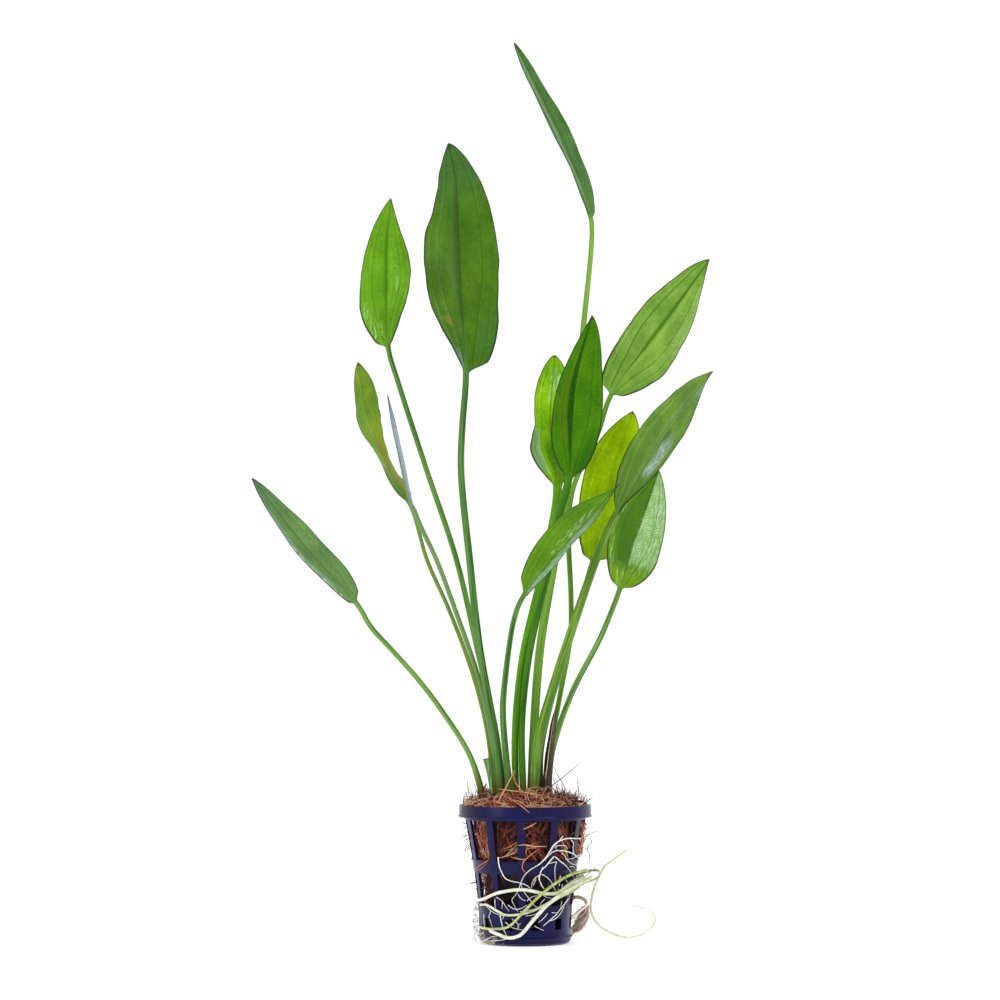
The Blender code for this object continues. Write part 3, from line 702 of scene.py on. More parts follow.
def bladeRelief(leaf, c, reach, width, along, seed):
    # how the sheet is embossed: sunk along its veins, swollen between them, with fine rungs across
    share = abs(c)
    veins = (0.0,) + leafForm["sideVeins"] + (1.0,)
    band = max(i for i in range(3) if share >= veins[i]) if share < 1.0 else 2
    between = (share - veins[band]) / (veins[band + 1] - veins[band])
    swell = math.sin(math.pi * between) ** 0.7
    depth, spread = leafForm["midGroove"]
    relief = -depth * math.exp(-(reach / spread) ** 2)
    depth, spread = leafForm["veinGroove"]
    for vein in leafForm["sideVeins"]:
        relief -= depth * math.exp(-((share - vein) * width / spread) ** 2)
    wander = noise.noise(Vector((along / 5.0, c * 2.5, seed * 3.0)))
    rungAt = (along - leafForm["rungSlant"] * abs(reach)) / leafForm["rungSpacing"] + wander
    strength = leaf.get("rung", leafForm["rung"]) * (0.7 + 0.9 * wander)
    slow = noise.noise(Vector((along / 13.0, c * 1.4, seed * 7.0)))
    relief += swell * (leafForm["pillow"] + strength * math.sin(math.tau * rungAt))
    return relief + leafForm["unevenness"] * slow * share


def leafRing(leaf, centre, ahead, v, u, along, seed):
    # one ring of a leaf: round on the stalk (v runs 0 to 1), a thin folded blade beyond (u, 0 to 1)
    turn = math.radians(valueAlong(leaf["turn"], u))
    across = ahead.cross(front).normalized()
    face = across.cross(ahead)
    side = across * math.cos(turn) - face * math.sin(turn)
    face = side.cross(ahead)
    foot, middle, neck = [d / 2.0 for d in leaf["thick"]]
    if v < leafForm["footShare"]:
        radius = blend(foot, middle, ease(v / leafForm["footShare"]))
    else:
        radius = blend(middle, neck, (v - leafForm["footShare"]) / (1.0 - leafForm["footShare"]))
    rib = radius * max(1.0 - u, 0.0) ** leafForm["ribTaper"]
    flat = ease(u / leaf.get("neckShare", leafForm["neckShare"]))
    height, waves = leaf["wave"]
    fold = math.radians(leaf["fold"]) * flat
    edges = leaf.get("edges", dict(left=[1.0], right=[1.0]))
    curl = leaf.get("curl")
    gather, gatherEnd = leafForm["gather"]
    power = 1.0 + gather * (1.0 - ease(u / gatherEnd)) * flat
    top = []
    under = []
    for c in acrossBlade:
        half, edge = (leaf["left"], edges["left"]) if c < 0 else (leaf["right"], edges["right"])
        width = math.hypot(halfWidth(half, u) * valueAlong(edge, u), rib)
        spread = math.copysign(abs(c) ** power, c)
        reach = blend(radius * math.sin(c * math.pi / 2), width * spread, flat)
        ripple = height * math.sin(math.tau * waves * u + c) * c * c * math.sin(math.pi * u)
        fade = flat * min(width / 4.0, 1.0)
        relief = bladeRelief(leaf, c, reach, width, along, seed) * fade
        if curl and c * curl["side"] > curl["start"]:
            bent = (abs(c) - curl["start"]) / (1.0 - curl["start"])
            ripple += curl["lift"] * bent ** 2 * rise(u, *curl["span"])
        lift = abs(reach) * math.sin(fold) + ripple + relief
        spot = centre + side * (reach * math.cos(fold)) + face * lift
        ridge = 1.0 + leafForm["ridgeDepth"] * math.cos(leafForm["ridges"] * math.pi * (c + 1.0))
        bulge = radius * math.cos(c * math.pi / 2) * ridge
        skin = leafForm["thick"] / 2.0 * (1.0 - c ** 4)
        ribPart = max(1.0 - (reach / max(rib * 1.3, 1e-6)) ** 2, 0.0) ** 0.5
        keel = skin + rib * leafForm["keel"] * ribPart
        top.append((spot + face * blend(bulge, skin, flat), c, 0.0, reach, width))
        under.append((spot - face * blend(bulge, keel, flat), c, 1.0, reach, width))
    return top + under[-2:0:-1]


def makeLeaf(name, leaf, seed):
    stalk = [leaf["foot"] + (stalkFoot,)] + leaf["stalk"] + [leaf["neck"]]
    steps = 40
    line = smoothLine(stalk + leaf["blade"], steps)
    lengths = lengthsAlong(line)
    neckAt = lengths[steps * (len(stalk) - 1)]
    bladeLength = lengths[-1] - neckAt
    points = []
    share = []
    place = []
    stops = [(k / leafForm["stalkRings"], 0.0) for k in range(leafForm["stalkRings"])]
    bladeRings = round(bladeLength / leafForm["ringSpacing"])
    for k in range(bladeRings):
        stops.append((1.0, k / bladeRings))
    for v, u in stops:
        along = neckAt * v + bladeLength * u
        centre, ahead = placeOn(line, lengths, along)
        for point, c, under, reach, width in leafRing(leaf, centre, ahead, v, u, along - neckAt, seed):
            points.append(point)
            share.append(((along - neckAt) / bladeLength, c, under))
            place.append((along, reach, width))
    points.append(line[-1])
    share.append((1.0, 0.0, 0.0))
    place.append((lengths[-1], 0.0, 0.0))
    faces = loftFaces(len(stops), 2 * len(acrossBlade) - 2, tip=True)
    material = leafMaterial("wetLeaf_" + name, leaf, seed)
    attributes = {"leafShare": share, "leafPlace": place}
    return meshPiece(name, points, faces, material, [leaf["node"]], attributes)


def markShare(add, value, start, full, fading, end):
    # the same rise and fall as a chain of nodes
    soft = dict(interpolation_type="SMOOTHSTEP")
    up = add("MapRange", {0: value, 1: start, 2: full}, **soft)
    down = add("MapRange", {0: value, 1: fading, 2: end, 3: 1.0, 4: 0.0}, **soft)
    return add("Math", {0: up, 1: down}, operation="MULTIPLY")


def leafMaterial(name, leaf, seed):
    # a living leaf, wet: soft tissue under a waxy skin, so it lets light through and still shines.
    # Sunk veins darken it in thin lines, and the rungs between them give it a fine ladder pattern.
    look = {key: leaf.get(key, usual) for key, usual in leafLook.items()}
    face, deep, vein, stem, stemDark = [linear(colour) for colour in leaf["colours"].values()]
    material, add = newMaterial(name)
    shareIn = add("Attribute", attribute_name="leafShare").outputs["Vector"]
    placeIn = add("Attribute", attribute_name="leafPlace").outputs["Vector"]
    u, c, under = add("SeparateXYZ", {0: shareIn}).outputs
    along, reach, width = add("SeparateXYZ", {0: placeIn}).outputs
    absC = add("Math", {0: c}, operation="ABSOLUTE")
    absReach = add("Math", {0: reach}, operation="ABSOLUTE")
    onBlade = add("MapRange", {0: u, 1: 0.0, 2: 0.05})

    # tissue: broad patches 10 mm wide and a finer mottle of 1.5 mm
    spot = add("CombineXYZ", {0: along, 1: reach, 2: seed * 11.0})
    patches = add("TexNoise", {"Vector": spot, "Scale": 0.1, "Detail": 2.0})
    mottle = add("TexNoise", {"Vector": spot, "Scale": 0.7, "Detail": 4.0})
    patchShare = add("MapRange", {0: patches, 1: 0.35, 2: 0.65})
    tissue = add("MixRGB", {0: patchShare, 1: face, 2: deep})
    mottleShare = add("MapRange", {0: mottle, 1: 0.3, 2: 0.7, 3: 0.88, 4: 1.12})
    tissue = add("HueSaturation", {"Value": mottleShare, "Color": tissue})

    # marks: painted shade beside the midrib, painted reflections in pale patches, and single spots;
    # painted glints are streaks of 3 mm by 0.5 mm
    lengthened = add("Mapping", {0: spot, "Scale": (0.3, 1.5, 1.0)})
    streaks = add("TexNoise", {"Vector": lengthened, "Scale": 1.1, "Detail": 2.0})
    for across, lengthwise, hexColour, strength, *broken in leaf["marks"]:
        places = {0: markShare(add, c, *across), 1: markShare(add, u, *lengthwise)}
        patch = add("Math", places, operation="MULTIPLY")
        if broken:
            uneven = add("MapRange", {0: streaks, 1: 0.52, 2: 0.6, 3: 0.0, 4: strength})
        else:
            uneven = add("MapRange", {0: mottle, 1: 0.3, 2: 0.6, 3: 0.6 * strength, 4: strength})
        amount = add("Math", {0: patch, 1: uneven}, operation="MULTIPLY")
        tissue = add("MixRGB", {0: amount, 1: tissue, 2: linear(hexColour)})

    # rungs: cross veins 1.15 mm apart that run forward from the midrib, with a net between them
    drift = add("Math", {0: mottle, 1: 1.1}, operation="MULTIPLY")
    slant, perRung = leafForm["rungSlant"], 1.0 / leafForm["rungSpacing"]
    slanted = add("Math", {0: absReach, 1: -slant, 2: along}, operation="MULTIPLY_ADD")
    rungAt = add("Math", {0: slanted, 1: perRung, 2: drift}, operation="MULTIPLY_ADD")
    rungNear = add("Math", {0: rungAt, 1: 0.5}, operation="PINGPONG")
    rung = add("MapRange", {0: rungNear, 1: 0.05, 2: 0.3, 3: 1.0, 4: 0.0})
    net = add("TexVoronoi", {"Vector": spot, "Scale": 0.9}, feature="DISTANCE_TO_EDGE")
    netLine = add("MapRange", {0: net, 1: 0.02, 2: 0.14, 3: 0.4, 4: 0.0})
    fine = add("Math", {0: rung, 1: netLine}, operation="MAXIMUM")
    fine = add("Math", {0: fine, 1: onBlade}, operation="MULTIPLY")

    # main veins: the midrib and two on each side, with a paler line beside each of those
    main = add("MapRange", {0: absReach, 1: 0.1, 2: 0.4, 3: 0.65, 4: 0.0})
    pale = 0.0
    for veinAt, strength in zip(leafForm["sideVeins"], leafForm["veinDark"]):
        off = add("Math", {0: absC, 1: -veinAt}, operation="ADD")
        gap = add("Math", {0: off, 1: width}, operation="MULTIPLY")
        near = add("Math", {0: gap}, operation="ABSOLUTE")
        line = add("MapRange", {0: near, 1: 0.08, 2: 0.36, 3: strength, 4: 0.0})
        main = add("Math", {0: main, 1: line}, operation="MAXIMUM")
        beside = markShare(add, gap, 0.15, 0.4, 0.5, 0.9)
        beside = add("Math", {0: beside, 1: strength}, operation="MULTIPLY")
        pale = add("Math", {0: pale, 1: beside}, operation="MAXIMUM")
    main = add("Math", {0: main, 1: onBlade}, operation="MULTIPLY")
    main = add("Math", {0: main, 1: look["veinShow"]}, operation="MULTIPLY", use_clamp=True)

    ladder = look["ladder"]
    fineShare = add("Math", {0: fine, 1: -ladder, 2: 1.0 + 0.4 * ladder}, operation="MULTIPLY_ADD")
    bladeColour = add("HueSaturation", {"Value": fineShare, "Color": tissue})
    paleShare = add("Math", {0: pale, 1: onBlade}, operation="MULTIPLY")
    paleValue = add("Math", {0: paleShare, 1: 0.45, 2: 1.0}, operation="MULTIPLY_ADD")
    bladeColour = add("HueSaturation", {"Value": paleValue, "Color": bladeColour})
    bladeColour = add("MixRGB", {0: main, 1: bladeColour, 2: vein})
    ribAcross = add("MapRange", {0: absReach, 1: 0.2, 2: 0.8, 3: 0.6, 4: 0.0})
    ribAlong = add("MapRange", {0: u, 1: 0.02, 2: 0.28, 3: 1.0, 4: 0.0})
    ribShare = add("Math", {0: ribAcross, 1: ribAlong}, operation="MULTIPLY")
    bladeColour = add("MixRGB", {0: ribShare, 1: bladeColour, 2: stem})

    # stalk: long pale and dark stripes, with painted shade on its right side, and a brownish foot
    stretched = add("Math", {0: along, 1: 0.02}, operation="MULTIPLY")
    stripeSpot = add("CombineXYZ", {0: stretched, 1: reach, 2: under})
    stripes = add("TexNoise", {"Vector": stripeSpot, "Scale": 1.8, "Detail": 3.0})
    # painted shade: the stripes are darker towards the stalk's right side
    stripesAndShade = add("Math", {0: c, 1: 0.17, 2: stripes}, operation="MULTIPLY_ADD")
    stripeAndShadeShare = add("MapRange", {0: stripesAndShade, 1: 0.4, 2: 0.66})
    stalk = add("MixRGB", {0: stripeAndShadeShare, 1: stem, 2: stemDark})
    footShare = add("MapRange", {0: along, 1: 3.0, 2: 12.0, 3: 0.9, 4: 0.0})
    stalk = add("MixRGB", {0: footShare, 1: stalk, 2: linear(leafForm["footColour"])})
    colour = add("MixRGB", {0: onBlade, 1: stalk, 2: bladeColour})

    # margin: a thin darker line all round, and a dark tip
    inward = add("Math", {0: 1.0, 1: absC}, operation="SUBTRACT")
    edge = add("Math", {0: inward, 1: width}, operation="MULTIPLY")
    margin = add("MapRange", {0: edge, 1: 0.15, 2: 0.55, 3: 0.9, 4: 0.0})
    tip = add("MapRange", {0: u, 1: 0.97, 2: 1.0, 3: 0.0, 4: 0.9})
    dark = add("Math", {0: margin, 1: tip}, operation="MAXIMUM")
    dark = add("Math", {0: dark, 1: onBlade}, operation="MULTIPLY")
    colour = add("MixRGB", {0: dark, 1: colour, 2: linear(leafForm["marginColour"])})
    backShare = add("Math", {0: under, 1: look["back"]}, operation="MULTIPLY")
    colour = add("MixRGB", {0: backShare, 1: colour, 2: linear(leafForm["backColour"])})

    # skin: fine grain of 0.3 mm under the wet film, sunk lines where the veins are
    grain = add("TexNoise", {"Vector": spot, "Scale": 3.3, "Detail": 2.0})
    low = add("Math", {0: fine, 1: -0.55, 2: grain}, operation="MULTIPLY_ADD")
    bump = add("Bump", {"Strength": 0.35, "Distance": 0.00012, "Height": low})
    rough = add("MapRange", {0: patches, 1: 0.3, 2: 0.7, 3: 0.38, 4: 0.5})
    skin = add("BsdfPrincipled", {
        "Base Color": colour,
        "Roughness": rough,
        "IOR": 1.42,
        "Specular IOR Level": 0.14,
        "Coat Weight": look["shine"],
        "Coat Roughness": 0.14,
        "Sheen Weight": look["glare"],
        "Sheen Roughness": 0.25,
        "Sheen Tint": (0.55, 0.7, 1.0, 1.0),
        "Normal": bump,
    })
    glow = add("HueSaturation", {"Saturation": 1.1, "Value": 1.05, "Color": colour})
    through = add("BsdfTranslucent", {0: glow})
    shader = add("MixShader", {0: look["clear"], 1: skin, 2: through})
    add("OutputMaterial", {0: shader})
    return material


for number, (leafName, leafValues) in enumerate(leaves.items()):
    makeLeaf(leafName, leafValues, number + 1)
print("leaves:", len(leaves))


# Net pot

pot = dict(
    wall=1.1,
    ribs=11,
    firstRib=-4.0,
    ribAngle=8.0,
    slotAngle=10.8,
    splits=3,  # columns that each rib, window side and slot is divided into
    bevel=0.26,
    rows=[
        # outer radius, height, and what lies between this row and the next
        (5.0, 0.0, "slot"),
        (13.0, 0.0, "solid"),
        (15.6, 0.0, "solid"),
        (17.0, 0.8, "solid"),
        (17.6, 2.5, "solid"),
        (17.9, 2.9, "solid"),
        (17.4, 3.3, "solid"),
        (17.3, 5.9, "slot"),
        (17.5, 10.0, "solid"),
        (17.9, 14.8, "window"),
        (19.4, 26.8, "solid"),
        (20.2, 31.6, "window"),
        (22.9, 46.6, "solid"),
        (23.1, 47.5, "solid"),
        (25.2, 47.5, "solid"),
        (25.25, 48.1, "solid"),
        (25.0, 48.5, "solid"),
        (25.0, 52.0, "end"),
    ],
)


def innerRow(i):
    # the inside of a pot row: its outside moved in by the wall, square to the profile there
    rows = pot["rows"]

    def normal(a, b):
        d = Vector((b[0] - a[0], b[1] - a[1])).normalized()
        return Vector((-d.y, d.x))

    before = normal(rows[i - 1], rows[i]) if i > 0 else normal(rows[0], rows[1])
    after = normal(rows[i], rows[i + 1]) if i < len(rows) - 1 else Vector((-1.0, 0.0))
    move = (before + after) / (1.0 + before.dot(after)) * pot["wall"]
    return rows[i][0] + move.x, rows[i][1] + move.y


potOutside = [row[:2] for row in pot["rows"]]
potInside = [innerRow(i) for i in range(len(pot["rows"]))]


def potColumns():
    pitch = 360.0 / pot["ribs"]
    window = pitch - pot["ribAngle"]
    side = (window - pot["slotAngle"]) / 2.0
    parts = [(pot["ribAngle"], "rib"), (side, "beside"), (pot["slotAngle"], "slot"), (side, "beside")]
    columns = []
    for rib in range(pot["ribs"]):
        start = pot["firstRib"] + pitch * rib - pot["ribAngle"] / 2.0
        for width, kind in parts:
            for step in range(pot["splits"]):
                columns.append((start + width * step / pot["splits"], kind))
            start += width
    return columns


def potRadius(height, inside=False):
    # the radius of the pot's wall at a height
    rows = potInside if inside else potOutside
    for (r1, z1), (r2, z2) in zip(rows, rows[1:]):
        if z1 <= height <= z2 and z2 > z1:
            return blend(r1, r2, (height - z1) / (z2 - z1))
    return rows[-1][0] if height > rows[-1][1] else rows[2][0]


def onPot(px, py, out):
    # the point that the picture shows there, lying on the pot's wall with out millimetres between
    place, way = photoRay(px, py)
    y = -20.0
    for _ in range(8):
        point = place + way * ((y - place.y) / way.y)
        reach = potRadius(max(point.z, 3.4)) + out
        y = -math.sqrt(max(reach * reach - point.x * point.x, 0.0))
    return place + way * ((y - place.y) / way.y)


def windowShare(turn, height):
    # 1 in the middle of a window of the pot, 0 behind its ribs and bands
    pitch = 360.0 / pot["ribs"]
    offset = (turn - pot["firstRib"] + pitch / 2.0) % pitch - pitch / 2.0
    fromRib = (abs(offset) - pot["ribAngle"] / 2.0) * math.pi / 180.0 * potRadius(height)
    share = 0.0
    for (_, low, kind), (_, high, _) in zip(pot["rows"], pot["rows"][1:]):
        if kind == "window":
            share = max(share, min(height - low, high - height, fromRib))
    return ease(share / 1.5)


def makePot():
    columns = potColumns()
    count = len(columns)
    rows = pot["rows"]
    points = []
    faces = []
    for i, (radius, height, _) in enumerate(rows):
        inRadius, inHeight = innerRow(i)
        points += [around(turn, radius, height) for turn, _ in columns]
        points += [around(turn, inRadius, inHeight) for turn, _ in columns]

    def outer(row, column):
        return 2 * row * count + column

    def inner(row, column):
        return (2 * row + 1) * count + column

    def isOpen(row, column):
        kind = rows[row][2]
        place = columns[column][1]
        return (kind == "window" and place != "rib") or (kind == "slot" and place == "slot")

    last = len(rows) - 1
    for row in range(last):
        for column in range(count):
            if isOpen(row, column):
                continue
            after = (column + 1) % count
            corners = [(row, column), (row, after), (row + 1, after), (row + 1, column)]
            faces.append([outer(*corner) for corner in corners])
            faces.append([inner(*corner) for corner in reversed(corners)])
            beside = [
                (row > 0 and isOpen(row - 1, column)),
                isOpen(row, after),
                (row + 1 < last and isOpen(row + 1, column)),
                isOpen(row, column - 1 if column else count - 1),
            ]
            for side, gap in enumerate(beside):
                if gap:
                    start, end = corners[side], corners[(side + 1) % 4]
                    faces.append((outer(*start), inner(*start), inner(*end), outer(*end)))
    for column in range(count):
        for row in (last, 0) if isOpen(0, column) else (last,):
            start, end = (row, column), (row, (column + 1) % count)
            faces.append((outer(*start), outer(*end), inner(*end), inner(*start)))
    faces.append([outer(0, column) for column in range(count)])
    faces.append([inner(0, column) for column in range(count)])
    piece = meshPiece("netPot", points, faces, potMaterial(), ["pot"])
    bevel = piece.modifiers.new("rounded", "BEVEL")
    bevel.width = pot["bevel"] * mm
    bevel.segments = 2
    bevel.limit_method = "ANGLE"
    bevel.angle_limit = math.radians(25)
    bevel.harden_normals = True


def potMaterial():
    # polypropylene, injection moulded and dyed navy: a waxy half gloss with soft, wide highlights,
    # wet in patches, with a little beige dirt on the left of its foot
    material, add = newMaterial("navyPolypropylene")
    spot = add("TexCoord").outputs["Object"]
    axes = add("SeparateXYZ", {0: spot})
    cloud = add("TexNoise", {"Vector": spot, "Scale": 90.0, "Detail": 3.0})
    tone = add("MapRange", {0: cloud, 1: 0.35, 2: 0.65})
    colour = add("MixRGB", {0: tone, 1: linear("170e2e"), 2: linear("121144")})
    dirt = add("TexNoise", {"Vector": spot, "Scale": 420.0, "Detail": 5.0, "Roughness": 0.7})
    low = add("MapRange", {0: axes.outputs[2], 1: 0.001, 2: 0.008, 3: 0.34, 4: 0.0})
    left = add("MapRange", {0: axes, 1: -0.015, 2: -0.003, 3: 1.0, 4: 0.0})
    near = add("Math", {0: low, 1: left}, operation="MULTIPLY")
    dirtAt = add("Math", {0: dirt, 1: near}, operation="ADD")
    dirtShare = add("MapRange", {0: dirtAt, 1: 0.7, 2: 0.8, 3: 0.0, 4: 0.85})
    colour = add("MixRGB", {0: dirtShare, 1: colour, 2: linear("a89c88")})
    film = add("TexNoise", {"Vector": spot, "Scale": 160.0, "Detail": 2.0})
    rough = add("MapRange", {0: film, 1: 0.4, 2: 0.62, 3: 0.2, 4: 0.34})
    grain = add("TexNoise", {"Vector": spot, "Scale": 2200.0, "Detail": 2.0})
    bump = add("Bump", {"Strength": 0.12, "Distance": 0.0001, "Height": grain})
    shader = add("BsdfPrincipled", {
        "Base Color": colour,
        "Roughness": rough,
        "IOR": 1.49,
        "Specular IOR Level": 0.3,
        "Specular Tint": (0.45, 0.5, 1.0, 1.0),
        "Normal": bump,
    })
    add("OutputMaterial", {0: shader})
    return material


makePot()
print("pot")


# Thin strands, for fibre and fine roots

def strandPiece(name, strands, sides, material, nodes=()):
    # one joined mesh of closed tubes; a strand is its points, its radii and its tone from 0 to 1
    points = []
    faces = []
    tones = []
    for line, radii, tone in strands:
        start = len(points)
        side = None
        for k, centre in enumerate(line):
            ahead = (line[min(k + 1, len(line) - 1)] - line[max(k - 1, 0)]).normalized()
            if side is None:
                side = ahead.orthogonal().normalized()
            side = (side - ahead * side.dot(ahead)).normalized()
            other = ahead.cross(side)
            radius = radii[k]
            for i in range(sides):
                angle = math.tau * i / sides
                across = side * (radius * math.cos(angle))
                points.append(centre + across + other * (radius * math.sin(angle)))
                tones.append(tone)
        for face in loftFaces(len(line), sides):
            faces.append(tuple(start + i for i in face))
    return meshPiece(name, points, faces, material, nodes, {"tone": tones}, outward=False)


def colourStops(elements, stops):
    # a ramp from colour to colour; each stop is its place and its colour
    while len(elements) < len(stops):
        elements.new(0.5)
    for element, (position, hexColour) in zip(elements, stops):
        element.position = position
        element.color = linear(hexColour)


def coirMaterial(name, stops):
    # coconut fibre, wet: stiff woody strands from orange to nearly black, each with its own tone, which is
    # painted darker where a strand lies deep or low, as shade, and a slight shine that picks out single strands;
    # the tail of it is bleached
    material, add = newMaterial(name)
    tone = add("Attribute", attribute_name="tone").outputs["Fac"]
    spot = add("TexCoord").outputs["Object"]
    flecks = add("TexNoise", {"Vector": spot, "Scale": 600.0, "Detail": 3.0})
    drift = add("MapRange", {0: flecks, 3: -0.16, 4: 0.16})
    value = add("Math", {0: tone, 1: drift}, operation="ADD")
    ramp = add("ValToRGB", {0: value})
    colourStops(ramp.color_ramp.elements, stops)
    bump = add("Bump", {"Strength": 0.3, "Distance": 0.0001, "Height": flecks})
    shader = add("BsdfPrincipled", {
        "Base Color": ramp,
        "Roughness": 0.42,
        "IOR": 1.5,
        "Specular IOR Level": 0.35,
        "Normal": bump,
    })
    add("OutputMaterial", {0: shader})
    return material


coir = dict(
    seed=11,
    steps=9,
    tufts=180,
    tuftStrands=8,
    tuftHeights=(5.0, 49.0),
    tuftDepths=(0.2, 0.7, 1.3, 2.2, 3.2),  # how far inside the wall a tuft can lie
    fullAbove=30.0,  # below this height the fibre thins out
    upperTone=(0.84, 0.12),
    # painted shade: low in the pot the strands are painted darker
    lowerShadedTone=(0.64, 0.14),
    # painted shade: a strand deeper inside the pot is painted darker
    depthShade=0.22,  # how much darker a strand is for each millimetre that it lies deeper
    # how much the strands of a tuft differ from each other
    scatter=dict(turn=3.6, height=1.7, heading=13.0, bend=0.05, depth=0.35, tone=0.19),
    sway=(0.1, 0.6),
    meanRadius=20.0,
    startHeights=(3.0, 51.0),
    heights=(2.6, 51.6),
    wallLength=(8.0, 20.0),
    # how far the strands swell out of the windows: from turn, to turn, least and most
    swell=[(60.0, 112.0, 1.4, 2.9), (-112.0, -60.0, 0.0, 0.3), (-180.0, 180.0, 0.2, 1.1)],
    # where the fibre in the windows is darker: from turn, to turn, by how much
    shade=[(0.0, 28.0, 0.34), (28.0, 66.0, 0.22)],
    # how the strands run behind the front windows: turn, direction in degrees, spread
    lay=[(-53, 84, 15), (-20, 42, 30), (12, -60, 22), (45, -50, 18), (78, -42, 18)],
    otherLay=(-60, -35, 30, 60, 85),
    topStrands=1900,
    topLength=(3.0, 13.0),
    topTone=(0.84, 0.36),
    topLifts=(0.0, 0.0, 0.15, 0.45),  # how steeply a strand's end can stand up
    topSink=(-2.0, 0.7),
    topArch=0.9,
    radius=(0.1, 0.2),
    topRadius=(0.11, 0.26),
    strays=430,
    strayTurns=[(40, 130), (50, 120), (-125, -60), (0, 360)],
    sideStrays=170,
    sideTurns=[(60, 115), (-115, -65), (0, 360)],
    hairPoints=7,
    hairRadius=(0.14, 0.27),
    hairTaper=0.65,
    hairCurl=0.18,
    stops=[(0.0, "090303"), (0.3, "3e130f"), (0.55, "883626"), (0.8, "c06c4a"), (1.0, "ecbc92")],
    bleached=[(0.0, "2c1c18"), (0.3, "765046"), (0.6, "ac887c"), (0.85, "d6c2b8"), (1.0, "f4ece6")],
)


mound = dict(
    level=50.9,  # at the wall
    dome=1.7,
    heap=2.7,  # round the feet of the stalks
    heapAt=(-2.5, -0.8),
    heapHalf=(16.0, 9.4),
    lump=1.2,
    lumpSize=4.0,
    radius=22.5,
    startRadius=22.6,  # no strand starts beyond this
    wallRadius=23.4,
)
wad = dict(
    # the body of fibre behind the strands, painted nearly black as the shade inside the pot
    sideRings=16,
    topRings=10,
    sides=72,
    foot=2.2,
    top=50.0,
    shrink=5.0,
    below=1.3,  # how far it stays under the mound
    lump=0.7,
    lumpSize=2.5,
    tone=0.04,
)


def strandRadii(count, radius):
    # a strand is thick in its middle and thin at its ends
    swell = [math.sin(math.pi * (k + 0.6) / (count + 0.2)) for k in range(count)]
    return [radius * (0.35 + 0.65 * share) for share in swell]


def moundHeight(x, y):
    # the fibre's top: level with the rim at the wall, heaped round the feet of the stalks
    (midX, midY), (halfX, halfY) = mound["heapAt"], mound["heapHalf"]
    share = math.hypot((x - midX) / halfX, (y - midY) / halfY)
    wall = min(math.hypot(x, y) / mound["radius"], 1.0)
    lumps = noise.noise(Vector((x / mound["lumpSize"], y / mound["lumpSize"], 3.0)))
    dome = mound["dome"] * (1.0 - wall ** 6)
    heap = mound["heap"] * (1.0 - ease((share - 0.75) / 0.75))
    return mound["level"] + dome + heap + mound["lump"] * lumps


def layAt(rng, turn):
    # the main direction of the strands at a turn round the pot
    for middle, direction, spread in coir["lay"]:
        if abs(turn - middle) < 16.4:
            return direction + rng.gauss(0.0, spread)
    return rng.choice(coir["otherLay"]) + rng.gauss(0.0, 18.0)


def fullness(turn, height):
    # how densely the fibre shows: it thins out low in the pot, most of all at the front right
    if height > coir["fullAbove"]:
        return 1.0
    return 0.12 if 2.0 < turn < 100.0 else 0.36


def wallStrands(rng):
    # tufts of strands that lie against the inside of the pot and swell a little out of its windows
    strands = []
    scatter = coir["scatter"]
    made = 0
    while made < coir["tufts"]:
        tuftTurn = rng.uniform(-180.0, 180.0)
        tuftHeight = rng.uniform(*coir["tuftHeights"])
        if windowShare(tuftTurn, tuftHeight) < 0.15 and rng.random() < 0.8:
            continue
        if rng.random() > fullness(tuftTurn, tuftHeight):
            continue
        made += 1
        tuftHeading = layAt(rng, tuftTurn)
        tuftDepth = rng.choice(coir["tuftDepths"]) + rng.uniform(0.0, 0.5)
        # low in the pot, and in the turns listed under shade, a tuft is painted darker, as shade
        tuftTone = rng.gauss(*coir["upperTone" if tuftHeight > coir["fullAbove"] else "lowerShadedTone"])
        for shadeStart, shadeEnd, darker in coir["shade"]:
            if shadeStart < tuftTurn < shadeEnd:
                tuftTone -= darker
        leastSwell, mostSwell = next(s[2:] for s in coir["swell"] if s[0] <= tuftTurn <= s[1])
        for _ in range(coir["tuftStrands"]):
            turn = tuftTurn + rng.gauss(0.0, scatter["turn"])
            height = tuftHeight + rng.gauss(0.0, scatter["height"])
            heading = math.radians(tuftHeading + rng.gauss(0.0, scatter["heading"]))
            bend = rng.gauss(0.0, scatter["bend"])
            length = rng.uniform(*coir["wallLength"])
            depth = max(tuftDepth + rng.gauss(0.0, scatter["depth"]), 0.1)
            swell = rng.uniform(leastSwell, mostSwell)
            sway = rng.uniform(*coir["sway"])
            phase = rng.uniform(0.0, math.tau)
            step = length / (coir["steps"] - 1)
            angle = heading - bend * step * coir["steps"] / 2
            turn -= math.degrees(math.cos(heading) * length / 2 / coir["meanRadius"])
            height = clamp(height - math.sin(heading) * length / 2, *coir["startHeights"])
            line = []
            for k in range(coir["steps"]):
                inside = potRadius(height, inside=True)
                radius = min(inside - depth + sway * math.sin(phase + 0.7 * k), inside - 0.3)
                radius += swell * windowShare(turn, height)
                line.append(around(turn, radius, height))
                angle += bend * step
                turn += math.degrees(math.cos(angle) * step / max(radius, 5.0))
                height = clamp(height + math.sin(angle) * step, *coir["heights"])
            # painted shade: the deeper the strand, the darker its tone
            tone = tuftTone + rng.gauss(0.0, scatter["tone"]) - coir["depthShade"] * depth
            radii = strandRadii(len(line), rng.uniform(*coir["radius"]))
            strands.append((line, radii, clamp(tone, 0.03, 1.0)))
    return strands


